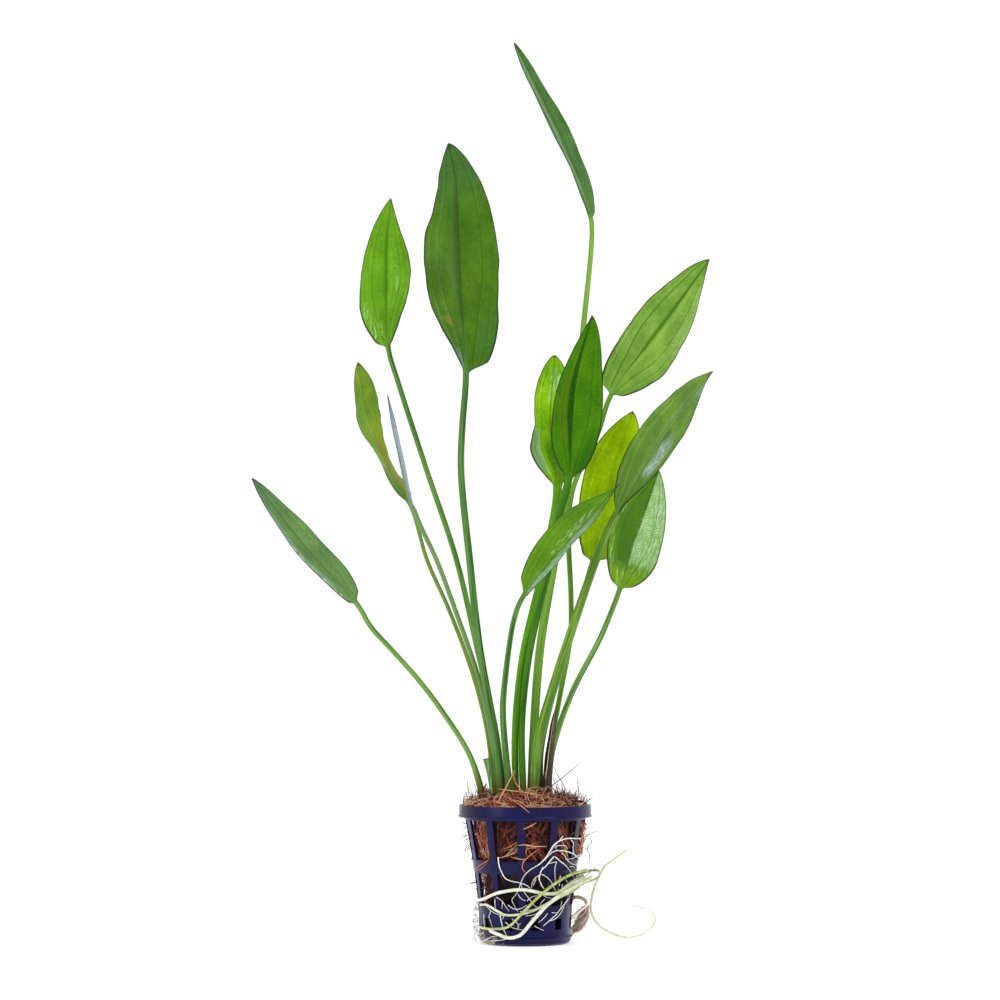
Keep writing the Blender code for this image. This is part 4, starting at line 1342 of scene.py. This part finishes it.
def topStrands(rng):
    # short strands that lie across each other on the mound, with gaps between them
    strands = []
    half, wall = mound["radius"], mound["wallRadius"]
    while len(strands) < coir["topStrands"]:
        x, y = rng.uniform(-half, half), rng.uniform(-half, half)
        if math.hypot(x, y) > mound["startRadius"]:
            continue
        heading = rng.uniform(0.0, math.tau)
        bend = rng.gauss(0.0, 0.12)
        length = rng.uniform(*coir["topLength"])
        lift = rng.choice(coir["topLifts"]) * rng.random()
        sink = rng.uniform(*coir["topSink"])
        step = length / (coir["steps"] - 1)
        line = []
        for k in range(coir["steps"]):
            share = k / (coir["steps"] - 1)
            reach = math.hypot(x, y)
            if reach > wall:
                x, y = x * wall / reach, y * wall / reach
            arch = coir["topArch"] * math.sin(math.pi * share)
            height = moundHeight(x, y) + sink + arch + lift * length * share ** 2
            line.append(Vector((x, y, height)))
            x += math.cos(heading) * step
            y += math.sin(heading) * step
            heading += bend * step
        # painted shade: a strand sunk into the mound is painted darker
        tone = clamp(rng.gauss(*coir["topTone"]) + 0.4 * sink, 0.03, 1.0)
        strands.append((line, strandRadii(len(line), rng.uniform(*coir["topRadius"])), tone))
    return strands


def strayHair(rng, start, lean, length, tone):
    # a hair that curls away from its first direction and thins out to its end
    last = coir["hairPoints"] - 1
    curl = Vector((rng.gauss(0, 1), rng.gauss(0, 1), rng.gauss(0, 0.6))) * coir["hairCurl"]
    line = []
    for k in range(last + 1):
        share = k / last
        line.append(start + lean * (length * share) + curl * (length * share ** 2))
    radius = rng.uniform(*coir["hairRadius"])
    radii = [radius * (1.0 - coir["hairTaper"] * k / last) for k in range(last + 1)]
    return line, radii, clamp(rng.gauss(tone, 0.12), 0.0, 1.0)


def strayStrands(rng):
    # single hairs that stand up from the mound and stick out of the windows
    strands = []
    for _ in range(coir["strays"]):
        turn = rng.choice([rng.uniform(*sector) for sector in coir["strayTurns"]])
        radius = rng.uniform(13.0, 22.6)
        start = around(turn, radius, 0.0)
        start.z = moundHeight(start.x, start.y) - 0.8
        lean = Vector((rng.gauss(0.0, 0.4), rng.gauss(0.0, 0.4), 1.0)).normalized()
        length = rng.uniform(2.0, 5.0) if rng.random() < 0.75 else rng.uniform(4.5, 8.5)
        strands.append(strayHair(rng, start, lean, length, 0.24))
    for _ in range(coir["sideStrays"]):
        turn = rng.choice([rng.uniform(*sector) for sector in coir["sideTurns"]])
        height = rng.uniform(7.0, 46.0)
        if windowShare(turn, height) < 0.5:
            continue
        start = around(turn, potRadius(height) - 0.8, height)
        out = around(turn, 1.0, 0.0)
        aside = Vector((rng.gauss(0, 0.6), rng.gauss(0, 0.6), rng.gauss(-0.5, 0.8)))
        lean = (out + aside).normalized()
        strands.append(strayHair(rng, start, lean, rng.uniform(1.5, 4.5), 0.4))
    return strands


# Straws that can be told apart. Each point is where the picture shows it, and then either how far
# it is behind the pot's middle or, as "wall", on the outside of the pot.
straws = [
    # radius, tone, points
    (0.20, 0.86, [(511.6, 799, -20.5), (520, 805, -24.0), (529.6, 812.8, -25.9)]),
    (0.22, 1.0, [(498.5, 789, -9.5), (508.5, 790.4, -10.5), (528.4, 793, -10.5), (543, 796.5, -12)]),
    (0.24, 0.94, [(497, 803.2, -17), (503, 793, -14), (514.7, 770.5, -9.5)]),
    (0.18, 0.22, [(546, 789.5, -7), (560, 779.5, -5), (580, 763, -3)]),
    (0.14, 0.35, [(552, 763.7, -4), (557, 774, -4.5), (563.5, 785, -5), (568, 796, -6)]),
    (0.26, 0.84, [(512, 769.5, -8.4), (515, 781, -9.6), (519, 788, -10.5), (527, 795, -13)]),
    (0.16, 0.16, [(470, 800.5, -6), (468.2, 790, -5.5), (467.4, 780.5, -5)]),
    (0.16, 0.14, [(579.4, 797, -5), (578.2, 787, -4.5), (577.3, 777.5, -4)]),
    (0.2, 0.12, [(582, 805, -6), (588, 800.5, -5), (593, 797.3, -4)]),
    (0.16, 0.1, [(488, 783, -8), (485, 786, -8.5), (482.5, 790, -9), (481.5, 797, -10)]),
    (0.2, 0.1, [(540, 770.5, -6), (536, 772, -6), (533, 775, -5.4)]),
    (0.2, 0.8, [(508, 794, -13), (510.5, 799, -15.5), (515, 802.5, -18)]),
    (0.22, 0.75, [(495, 804.5, -19), (503, 799, -16), (508, 792, -13.5)]),
    (0.24, 0.66, [(487, 803.5, -17), (495, 799, -14.5), (505, 789, -11)]),
    (0.16, 0.9, [(541.5, 798, -13), (544, 792, -11), (547, 787.5, -9.5)]),
    (0.2, 0.97, "wall", [(518.4, 845.5), (524.6, 844.8), (534.6, 846.4), (547, 846.4)]),
    (0.22, 0.92, "wall", [(523, 829.4), (530, 826.4), (536.5, 822.4)]),
    (0.22, 0.82, "wall", [(539.6, 848.9), (529.6, 855.7), (522.8, 863.2), (522.8, 869.4), (526, 873)]),
    (0.2, 0.78, "wall", [(527, 856), (526, 850.5), (530, 848), (536, 847.5)]),
    (0.26, 0.78, "wall", [(475, 869.4), (481, 865), (488.6, 860)]),
    (0.2, 0.7, "wall", [(474.5, 871), (482, 868), (487.5, 863)]),
    (0.2, 0.82, "wall", [(504, 849), (510, 846.5), (517, 842)]),
    (0.22, 0.84, "wall", [(510, 857), (517, 858.5), (523, 859.5), (527.5, 858)]),
    (0.16, 0.1, [(584, 836, -4), (588, 837, -3), (591.8, 842, -2), (587, 848, -3), (589.6, 855, -4),
                 (589, 863, -5), (590.4, 872.7, -6)]),
    (0.14, 0.2, [(582.8, 838, -4), (592.5, 832.7, -3), (599.3, 830.6, -3)]),
    (0.12, 0.2, [(470, 833.5, -3), (466, 835.8, -3), (460.6, 837.7, -3)]),
    (0.09, 0.3, [(470, 838, -3), (467.4, 839.6, -3), (466, 848, -3), (464.6, 858, -3)]),
    (0.1, 0.98, [(585, 908, 5.5), (577, 918, 7), (573, 928, 8), (571, 935, 9)]),
    (0.08, 0.96, [(582, 904, 5), (580, 913, 6), (581, 922, 7), (578, 930, 8)]),
    (0.08, 0.92, [(578, 912, 6), (574, 919, 7.5), (570, 926, 9), (568, 936, 10)]),
]


def strawStrands():
    strands = []
    for straw in straws:
        radius, tone = straw[:2]
        if straw[2] == "wall":
            points = [onPot(px, py, 0.35) for px, py in straw[3]]
        else:
            points = [atDepth(px, py, y) for px, py, y in straw[2]]
        line = smoothLine(points, 5)
        strands.append((line, strandRadii(len(line), radius), tone))
    return strands


def makeWad(material):
    # up the inside of the pot, then in over the top to its middle
    sides, size = wad["sides"], wad["lumpSize"]
    levels = []
    for k in range(wad["sideRings"]):
        height = blend(wad["foot"], wad["top"], k / (wad["sideRings"] - 1))
        levels.append((potRadius(height, inside=True) - wad["shrink"], height))
    rim = levels[-1][0]
    for k in range(1, wad["topRings"] + 1):
        levels.append((rim * (1.0 - k / (wad["topRings"] + 0.5)), None))
    points = []
    for radius, height in levels:
        for i in range(sides):
            angle = math.tau * i / sides
            x, y = radius * math.cos(angle), radius * math.sin(angle)
            z = moundHeight(x, y) - wad["below"] if height is None else height
            lump = wad["lump"] * noise.noise(Vector((x / size, y / size, z / size)))
            points.append(Vector((x, y, z)) * (1.0 + lump / 22.0))
    faces = loftFaces(len(levels), sides)
    # painted shade: the whole body takes one nearly black tone
    tones = {"tone": [wad["tone"]] * len(points)}
    meshPiece("coirWad", points, faces, material, ["coir_plug"], tones)


def makeCoir():
    material = coirMaterial("wetCoconutFibre", coir["stops"])
    bleached = coirMaterial("bleachedCoconutFibre", coir["bleached"])
    rng = random.Random(coir["seed"])
    makeWad(material)
    strandPiece("coirWallStrands", wallStrands(rng), 3, material)
    strandPiece("coirTopStrands", topStrands(rng), 3, material)
    strandPiece("coirStrayHairs", strayStrands(rng), 4, material)
    strandPiece("coirStraws", strawStrands(), 6, material)
    strandPiece("coirTail", tailStrands(rng), 4, bleached, ["coir_tail"])


# The clump that hangs out of the pot at the back right
tail = dict(
    line=[(23.4, 7.0, 13.6), (23.0, 7.8, 10.4), (20.4, 9.4, 5.8), (17.6, 11.0, 2.2)],
    widths=[1.2, 2.0, 2.1, 0.8],
    strands=190,
    steps=11,
    radius=(0.09, 0.2),
    tone=(0.42, 0.12),
    outPaler=0.36,  # how much paler it is on its outside
)


def tailStrands(rng):
    # strands that twist down together, with loose ends
    line = smoothLine(tail["line"])
    lengths = lengthsAlong(line)
    strands = []
    for _ in range(tail["strands"]):
        start = rng.uniform(-0.05, 0.5)
        end = start + rng.uniform(0.3, 0.65)
        out = math.sqrt(rng.random()) * rng.uniform(0.8, 1.35)
        angle = rng.uniform(0.0, math.tau)
        twist = rng.gauss(1.6, 1.4)
        sway = rng.uniform(0.0, 0.5)
        points = []
        for k in range(tail["steps"]):
            share = blend(start, min(end, 1.16), k / (tail["steps"] - 1))
            centre, ahead = placeOn(line, lengths, lengths[-1] * share)
            side = ahead.cross(front).normalized()
            other = ahead.cross(side)
            weave = sway * math.sin(3.0 * k / tail["steps"] + angle)
            reach = out * valueAlong(tail["widths"], share) + weave
            spin = angle + twist * share
            spot = centre + side * (reach * math.cos(spin)) + other * (reach * math.sin(spin))
            spot.z = max(spot.z, 0.35)
            points.append(spot)
        tone = clamp(rng.gauss(*tail["tone"]) + tail["outPaler"] * out, 0.05, 1.0)
        strands.append((points, strandRadii(len(points), rng.uniform(*tail["radius"])), tone))
    return strands


makeCoir()
print("coconut fibre: wad, strands, straws and tail")


# Roots

roots = {
    "rootWrapUpper": dict(
        node="root_wrap_upper",
        line=[(103, 18.2, 23.6), (101, 20.4, 24.0), (90, 21.3, 24.6), (76, 21.0, 24.6), (54, 20.3, 22.8),
              (37, 19.8, 19.9), (20, 19.8, 19.9), (-3, 20.0, 21.4), (-31, 19.8, 20.0), (-53, 19.5, 17.4),
              (-75, 19.3, 16.3), (-98, 19.3, 16.0)],
        radius=(0.75, 0.55),
        colours=("c0ca88", "f8f8f2"),
        swellings=[(0.12, 0.05, 0.9)],
    ),
    "rootWrapMiddle": dict(
        node="root_wrap_middle",
        line=[(103, 18.2, 19.6), (100, 20.0, 20.2), (84, 20.2, 20.8), (63, 19.8, 20.1), (31, 19.4, 17.0),
              (15, 19.1, 14.5), (0, 18.9, 12.6), (-22, 18.8, 11.8), (-34, 18.9, 13.2), (-49, 19.0, 15.2),
              (-64, 19.0, 15.0)],
        radius=(0.55, 0.45),
        colours=("a8b468", "eceed4"),
    ),
    "rootWrapLower": dict(
        node="root_wrap_lower",
        line=[(111, 18.2, 24.4), (107, 21.5, 25.6), (90, 23.4, 27.2), (67, 23.2, 27.6), (52, 22.8, 27.0),
              (36, 22.2, 24.9), (16, 21.8, 19.9), (-1, 21.0, 13.7), (-19, 19.6, 7.6), (-39, 18.8, 6.4),
              (-56, 18.8, 6.4), (-80, 18.6, 6.8)],
        radius=(0.62, 0.45),
        colours=("8c9c3c", "ccd494"),
    ),
    "rootWrapThick": dict(
        node="root_wrap_thick",
        line=[(111, 18.2, 20.2), (107, 21.6, 21.4), (92, 24.4, 24.2), (76, 24.4, 24.4), (61, 23.6, 23.4),
              (43, 22.6, 20.6), (22, 21.8, 15.9), (7, 21.2, 9.9), (-6, 20.8, 4.6), (-18, 20.8, 3.6),
              (-29, 20.8, 4.7), (-41, 20.8, 6.0)],
        radius=(0.9, 0.6),
        colours=("b2bc80", "f4f5e8"),
    ),
    "rootLooseCurl": dict(
        node="root_loose_curl",
        line=[(117, 18.2, 24.4), (112, 24.0, 26.0), (101, 27.6, 26.9), (91, 28.4, 26.2), (84, 27.0, 23.0),
              (80, 25.6, 18.0), (80, 25.2, 12.6), (81, 27.4, 7.6), (83, 33.6, 3.6), (84, 40.0, 2.4),
              (86, 46.0, 4.6), (86, 49.0, 8.5), (85, 46.6, 12.8), (84, 40.8, 14.2)],
        radius=(0.6, 0.38),
        colours=("b8c09c", "dce0cc"),
        swellings=[(0.08, 0.02, 0.7)],
    ),
    "rootThinRight": dict(
        node="root_thin_right",
        line=[(117, 18.2, 20.6), (116, 24.0, 21.4), (107, 29.0, 24.0), (97, 30.4, 28.4), (92, 35.7, 32.8),
              (90, 39.2, 35.1)],
        radius=(0.5, 0.3),
        colours=("b4ba74", "d9dfb0"),
    ),
    "rootBackBrown": dict(
        node="root_back_brown",
        line=[(105, 18.2, 16.4), (104, 20.5, 16.8), (103, 23.2, 15.8), (104, 24.2, 14.0)],
        radius=(0.7, 0.75),
        colours=("9c8874", "bcaa98"),
    ),
    "rootBackPale": dict(
        node="root_back_pale",
        line=[(112, 17.0, 8.2), (110, 19.0, 9.0), (103, 21.4, 11.8), (99, 23.6, 13.8)],
        radius=(0.75, 0.6),
        colours=("d0ccc0", "f0eee8"),
    ),
}


def rootMaterial(name, start, end):
    # a young root: soft white tissue under a thin wet skin, so light spreads in it and its shine is
    # narrow; it is greener and darker towards the plant
    material, add = newMaterial(name)
    tone = add("Attribute", attribute_name="tone").outputs["Fac"]
    spot = add("TexCoord").outputs["Object"]
    patches = add("TexNoise", {"Vector": spot, "Scale": 420.0, "Detail": 4.0})
    drift = add("MapRange", {0: patches, 1: 0.3, 2: 0.7, 3: -0.45, 4: 0.45})
    share = add("Math", {0: tone, 1: drift}, operation="ADD")
    share = add("MapRange", {0: share})
    colour = add("MixRGB", {0: share, 1: linear(start), 2: linear(end)})
    grain = add("TexNoise", {"Vector": spot, "Scale": 1500.0, "Detail": 3.0})
    bump = add("Bump", {"Strength": 0.3, "Distance": 0.00015, "Height": grain})
    shader = add("BsdfPrincipled", {
        "Base Color": colour,
        "Roughness": 0.36,
        "IOR": 1.4,
        "Subsurface Weight": 0.25,
        "Subsurface Radius": (0.8, 0.8, 0.5),
        "Subsurface Scale": 0.001,
        "Coat Weight": 0.3,
        "Coat Roughness": 0.15,
        "Normal": bump,
    })
    add("OutputMaterial", {0: shader})
    return material


def tubePiece(name, line, sides, rings, radiusAt, material, nodes, flat=1.0):
    # a closed tube along a line; radiusAt gives its radius at a share of the way and an angle
    lengths = lengthsAlong(line)
    points = []
    shares = []
    side = None
    for k in range(rings):
        share = k / (rings - 1)
        centre, ahead = placeOn(line, lengths, lengths[-1] * share)
        if side is None:
            side = ahead.cross(front).normalized()
        side = (side - ahead * side.dot(ahead)).normalized()
        other = ahead.cross(side)
        for i in range(sides):
            angle = math.tau * i / sides
            reach = radiusAt(share, angle)
            flatReach = reach * flat * math.sin(angle)
            points.append(centre + side * (reach * math.cos(angle)) + other * flatReach)
            shares.append(share)
    faces = loftFaces(rings, sides)
    return meshPiece(name, points, faces, material, nodes, {"tone": shares})


def makeRoot(name, root, seed):
    line = smoothLine([around(*p) for p in root["line"]])
    length = lengthsAlong(line)[-1]
    start, end = root["radius"]

    def radiusAt(share, angle):
        along = share * length
        radius = blend(start, end, share) * (1.0 + 0.1 * noise.noise(Vector((along / 4.0, seed, 0.0))))
        tip = min((length - along) / end, 1.0)
        ripple = noise.noise(Vector((along / 1.8, math.cos(angle) * 2, math.sin(angle) * 2)))
        swollen = 0.0
        for middle, reach, extra in root.get("swellings", ()):
            swollen += extra * math.exp(-((share - middle) / reach) ** 2)
        return radius * (1.0 + 0.06 * ripple + swollen) * math.sqrt(max(1.0 - (1.0 - tip) ** 2, 0.02))

    material = rootMaterial("rootSkin_" + name, *root["colours"])
    rings = max(int(length / 0.5), 12)
    tubePiece(name, line, 12, rings, radiusAt, material, [root["node"]])


for number, (rootName, rootValues) in enumerate(roots.items()):
    makeRoot(rootName, rootValues, number + 1)
print("thick roots")


# The net of fine roots on the pot's wall. Each follows the picture from point to point.
fineRoots = dict(
    sides=6,
    steps=4,
    out=0.45,
    radius=0.17,
    thick=0.25,
    white=("eaecd4", "fcfcf6"),
    grey=("a8a8a0", "c4c2b8"),
    seed=29,
    thickLines=[
        [(585, 838.5), (576.7, 838.5), (566.7, 838.5), (562.5, 839.7), (557.5, 842), (553, 846), (550, 851),
         (546, 857), (540, 863.5), (535, 867), (530, 870), (524, 876), (520.5, 883.5)],
        [(579.6, 859), (576, 856), (572.5, 853.5), (565, 851), (560, 850.6), (555, 851), (551, 853.5),
         (546, 858.5), (539, 865)],
        [(554, 856.4), (550, 861), (546, 866), (541.7, 870), (540, 874), (539, 879), (541.7, 885), (544, 889)],
        [(554.6, 856.4), (560, 861), (566, 866), (571, 872.7), (575, 880)],
        [(568.3, 898.5), (565, 903.5), (560.8, 908.5), (555.8, 915), (550, 920), (543.3, 926)],
        [(500, 914), (501, 920), (503, 928), (505.5, 933.5), (507, 937)],
        [(498, 857), (499, 865), (501, 871), (505.5, 878.5), (511, 881), (520, 883), (526, 885), (530.5, 888.5)],
        [(571.7, 917.7), (579, 911.5), (586.7, 906)],
    ],
    lines=[
        [(520.5, 883.5), (518, 891), (515.5, 895), (512, 900), (514.5, 906), (518, 912)],
        [(521, 884), (522.5, 889)],
        [(539.5, 875), (534.5, 878.5), (532, 884), (531.5, 889)],
        [(536, 879), (533, 886)],
        [(543, 867), (540.5, 873), (539.5, 879), (541, 885), (544, 889)],
        [(518, 894), (521, 898.5), (526, 901)],
        [(524, 892), (529, 898.5), (534, 905), (539, 909)],
        [(496, 897), (502, 901), (506, 907), (509, 911)],
        [(495, 899), (495, 905), (496, 910)],
        [(502.5, 902), (502, 908.5)],
        [(491, 911), (489, 917), (491, 923), (493, 929)],
        [(484, 914), (484, 922), (485, 928.5)],
        [(504, 916), (502, 920)],
        [(505.5, 922), (511, 927), (517, 929), (523, 930)],
        [(518, 928.5), (518.5, 925), (521, 923.5)],
        [(525.5, 916), (533, 915), (538, 912.5)],
        [(531, 918.5), (534, 917.5)],
        [(545, 899), (541, 903), (540.5, 907)],
        [(563, 836), (559, 841), (554, 846.5), (550, 853)],
        [(556.7, 861.4), (555, 867.7), (555, 876), (555.4, 883.5)],
        [(556, 862), (552, 862.7), (547.5, 864)],
        [(541.7, 874.3), (547.5, 877.7), (551.7, 882.7), (555.8, 891)],
        [(555.4, 848.5), (556.7, 846), (561, 845.6), (566, 846), (567.5, 849.3)],
        [(571, 840), (573.3, 842.7), (573, 847.7), (573.7, 853.5), (576.7, 856.8), (580, 861.8)],
        [(583, 851.8), (578.3, 855), (572.5, 858.5), (566.7, 859.3)],
        [(566, 858.5), (570, 862.7), (575, 865), (579, 866.8)],
        [(561.7, 853), (565, 856), (566, 860)],
        [(569.6, 866.8), (573.3, 866.8), (575.8, 870)],
        [(566.3, 880), (569, 886)],
        [(562.5, 884.3), (561.7, 889.3)],
        [(561.7, 901), (560.8, 907.7)],
        [(547.5, 913.5), (543.3, 918.5), (538.3, 922.7)],
        [(551.7, 912.7), (556.7, 912.7)],
        [(534.5, 926), (539, 928.5), (544, 930.6)],
        [(573, 906.8), (576.7, 909.3), (581.7, 908)],
        [(479, 903), (476, 906), (478, 911)],
        [(480, 929), (476, 931), (474, 936), (479, 938)],
        [(484, 932), (480, 936), (477, 939.5)],
        [(491, 941), (498, 940.5), (505, 939.5), (512, 937)],
        [(480, 941.5), (486, 940), (491, 937), (497, 936)],
        [(486, 905), (490, 910), (497, 914), (504, 916)],
        [(508, 905), (514, 909), (520, 909), (527, 905)],
        [(520, 912), (527, 910.5), (535, 909), (541, 906)],
        [(547, 905), (552, 900), (556, 896.5), (563, 891)],
        [(527, 901), (532, 897), (537, 895.5)],
        [(512, 919), (517, 923), (519, 927)],
        [(549, 921), (555, 919), (560, 914), (564, 907)],
        [(541, 893), (546, 897), (551, 898)],
    ],
    greyLines=[
        [(584, 878), (590, 872), (597, 866.5), (603, 862)],
        [(581.7, 863.5), (588.3, 862.3), (595.8, 862.7)],
        [(590, 867.7), (590.8, 873.5), (592.5, 877.7)],
        [(585, 886), (589, 888.5), (590.8, 892.7)],
        [(575, 890.2), (578.3, 886.8), (582.5, 883.5), (588.3, 880)],
    ],
    fluff=90,
    fluffRadius=(0.045, 0.08),
    fluffPoints=9,
    fluffStep=0.42,
    fluffCurl=0.75,
    fluffSpots=[(477, 902), (476, 909), (475, 916), (477, 923), (476, 930), (476, 937)],
)


def rootStrands(rng, lines, radius, tone):
    strands = []
    for points in lines:
        line = smoothLine([onPot(px, py, fineRoots["out"]) for px, py in points], fineRoots["steps"])
        last = len(line) - 1
        thickness = radius * rng.uniform(0.85, 1.15)
        strands.append((line, [thickness * (1.0 - 0.45 * k / last) for k in range(last + 1)], tone))
    return strands


def rootFluff(rng):
    # hair-thin rootlets that curl into a grey fluff at the left
    strands = []
    for _ in range(fineRoots["fluff"]):
        px, py = rng.choice(fineRoots["fluffSpots"])
        spot = onPot(px + rng.gauss(0.0, 1.5), py + rng.gauss(0.0, 3.0), 0.2)
        way = Vector((rng.gauss(-0.6, 0.8), rng.gauss(0.0, 0.8), rng.gauss(0.0, 0.8))).normalized()
        axis = Vector((rng.gauss(0, 1), rng.gauss(0, 1), rng.gauss(0, 1))).normalized()
        turning = axis * fineRoots["fluffCurl"]
        line = []
        for _ in range(fineRoots["fluffPoints"]):
            line.append(Vector((spot.x, spot.y, max(spot.z, 0.25))))
            spot = spot + way * fineRoots["fluffStep"]
            way = (way + way.cross(turning)).normalized()
        strands.append((line, [rng.uniform(*fineRoots["fluffRadius"])] * len(line), rng.random()))
    return strands


def makeFineRoots():
    rng = random.Random(fineRoots["seed"])
    white = rootMaterial("fineRootSkin", *fineRoots["white"])
    grey = rootMaterial("oldRootSkin", *fineRoots["grey"])
    strands = rootStrands(rng, fineRoots["thickLines"], fineRoots["thick"], 0.7)
    strands += rootStrands(rng, fineRoots["lines"], fineRoots["radius"], 0.6)
    strandPiece("fineRootNet", strands, fineRoots["sides"], white)
    strands = rootStrands(rng, fineRoots["greyLines"], fineRoots["radius"], 0.3)
    strandPiece("fineRootsGrey", strands, fineRoots["sides"], grey)
    strandPiece("rootFluff", rootFluff(rng), 3, grey)


makeFineRoots()
print("fine roots")


# Dead sheath and cut stalk

sheath = dict(
    line=[(8.2, -3.3, 56.8), (9.2, -3.2, 71.0), (11.8, -3.8, 90.5)],
    widths=[1.7, 1.7, 1.2, 0.45],
    thick=0.4,
    curl=0.7,
    columns=30,
    rings=80,
    ridge=0.1,
    creamAt=(-0.6, -0.25, 0.09),  # where the pale torn edge runs across it low and high, half width
    stops=[(0.1, "120b08"), (0.5, "4c3a1c"), (0.95, "e4d4ac")],
)


def makeSheath():
    # a strip curled round the stalks behind it, ridged lengthwise and torn at its top
    line = smoothLine(sheath["line"])
    lengths = lengthsAlong(line)
    columns, rings = sheath["columns"], sheath["rings"]
    creamLow, creamHigh, creamWidth = sheath["creamAt"]
    points = []
    tones = []
    for k in range(rings):
        faceSide = []
        backSide = []
        for i in range(columns):
            c = 2.0 * i / (columns - 1) - 1.0
            torn = 0.97 - 0.24 * abs(noise.noise(Vector((c * 3.1, 4.0, 0.0)))) - 0.12 * c * c
            share = k / (rings - 1) * torn
            centre, ahead = placeOn(line, lengths, lengths[-1] * share)
            side = ahead.cross(front).normalized()
            face = side.cross(ahead)
            width = valueAlong(sheath["widths"], share)
            streak = noise.noise(Vector((c * 7.0, share * 2.2, 1.0)))
            ripple = sheath["ridge"] * streak + 0.18 * noise.noise(Vector((c * 1.5, share * 9.0, 7.0)))
            spot = centre + side * (width * c) + face * (ripple - sheath["curl"] * c * c)
            thick = sheath["thick"] / 2.0 * (1.0 - 0.6 * c * c) * (1.0 - 0.75 * k / rings)
            cream = blend(creamLow, creamHigh, ease((share - 0.1) / 0.25))
            pale = math.exp(-((c - cream) / creamWidth) ** 2) * ease((share - 0.08) / 0.12)
            dark = 0.26 if c < cream - creamWidth else 0.0
            tone = clamp(0.3 + 0.5 * streak + pale - dark, 0.0, 1.0)
            faceSide.append((spot + face * thick, tone))
            backSide.append((spot - face * thick, tone))
        for spot, tone in faceSide + backSide[::-1]:
            points.append(spot)
            tones.append(tone)
    material = sheathMaterial()
    faces = loftFaces(rings, 2 * columns)
    meshPiece("oldSheath", points, faces, material, ["old_sheath"], {"tone": tones})


def sheathMaterial():
    # a dead leaf base: dry fibres pressed to a skin, dark brown with cream ones where it tore,
    # dull apart from a slight gloss where it is wet
    material, add = newMaterial("deadLeafSheath")
    tone = add("Attribute", attribute_name="tone").outputs["Fac"]
    spot = add("TexCoord").outputs["Object"]
    flecks = add("TexNoise", {"Vector": spot, "Scale": 900.0, "Detail": 3.0})
    drift = add("MapRange", {0: flecks, 3: -0.15, 4: 0.15})
    value = add("Math", {0: tone, 1: drift}, operation="ADD")
    ramp = add("ValToRGB", {0: value})
    colourStops(ramp.color_ramp.elements, sheath["stops"])
    bump = add("Bump", {"Strength": 0.4, "Distance": 0.0001, "Height": flecks})
    shader = add("BsdfPrincipled", {
        "Base Color": ramp,
        "Roughness": 0.5,
        "Normal": bump,
    })
    add("OutputMaterial", {0: shader})
    return material


stub = dict(
    line=[(-12.7, -7.6, 56.8), (-13.5, -7.6, 63.0), (-14.7, -7.4, 69.6)],
    widths=[0.6, 0.8, 1.25],
    flat=0.7,
    ridges=5,
)


def makeStub():
    # what is left of a leaf that was cut off: a short stalk, a little frayed at the cut
    def radiusAt(share, angle):
        ridge = 1.0 + 0.05 * math.cos(stub["ridges"] * angle)
        fray = 0.12 * noise.noise(Vector((math.cos(angle) * 3, math.sin(angle) * 3, share * 4)))
        return valueAlong(stub["widths"], share) * (ridge + fray * ease((share - 0.9) / 0.1))

    material, add = newMaterial("cutStalk")
    # living stalk, pale and watery green, dried to a brown line at the cut
    share = add("Attribute", attribute_name="tone").outputs["Fac"]
    spot = add("TexCoord").outputs["Object"]
    stretched = add("Mapping", {0: spot, "Scale": (1.0, 1.0, 0.08)})
    stripes = add("TexNoise", {"Vector": stretched, "Scale": 1600.0, "Detail": 2.0})
    tone = add("MapRange", {0: stripes, 1: 0.35, 2: 0.65})
    colour = add("MixRGB", {0: tone, 1: linear("84b468"), 2: linear("4f8440")})
    cut = add("MapRange", {0: share, 1: 0.965, 2: 0.985})
    colour = add("MixRGB", {0: cut, 1: colour, 2: linear("3a4632")})
    shader = add("BsdfPrincipled", {"Base Color": colour, "Roughness": 0.35})
    through = add("BsdfTranslucent", {0: colour})
    mixed = add("MixShader", {0: 0.3, 1: shader, 2: through})
    add("OutputMaterial", {0: mixed})
    line = smoothLine(stub["line"])
    tubePiece("cutLeafStub", line, 28, 40, radiusAt, material, ["cut_leaf_stub"],
              stub["flat"])


makeSheath()
makeStub()
print("sheath and cut stalk")


# What the frame already has right gets its finish here

def crownMaterial():
    # rhizome: a short woody base with scars, dull and knobbly under the fibre
    material, add = newMaterial("rhizomeBark")
    spot = add("TexCoord").outputs["Object"]
    rings = add("TexNoise", {"Vector": spot, "Scale": 350.0, "Detail": 5.0})
    tone = add("MapRange", {0: rings, 1: 0.35, 2: 0.65})
    colour = add("MixRGB", {0: tone, 1: linear("2c1a10"), 2: linear("5c4424")})
    bump = add("Bump", {"Strength": 0.6, "Distance": 0.0004, "Height": rings})
    shader = add("BsdfPrincipled", {
        "Base Color": colour,
        "Roughness": 0.7,
        "Normal": bump,
    })
    add("OutputMaterial", {0: shader})
    return material


crown = bpy.data.objects["crown"]
for materialSlot in crown.material_slots:
    materialSlot.material = crownMaterial()
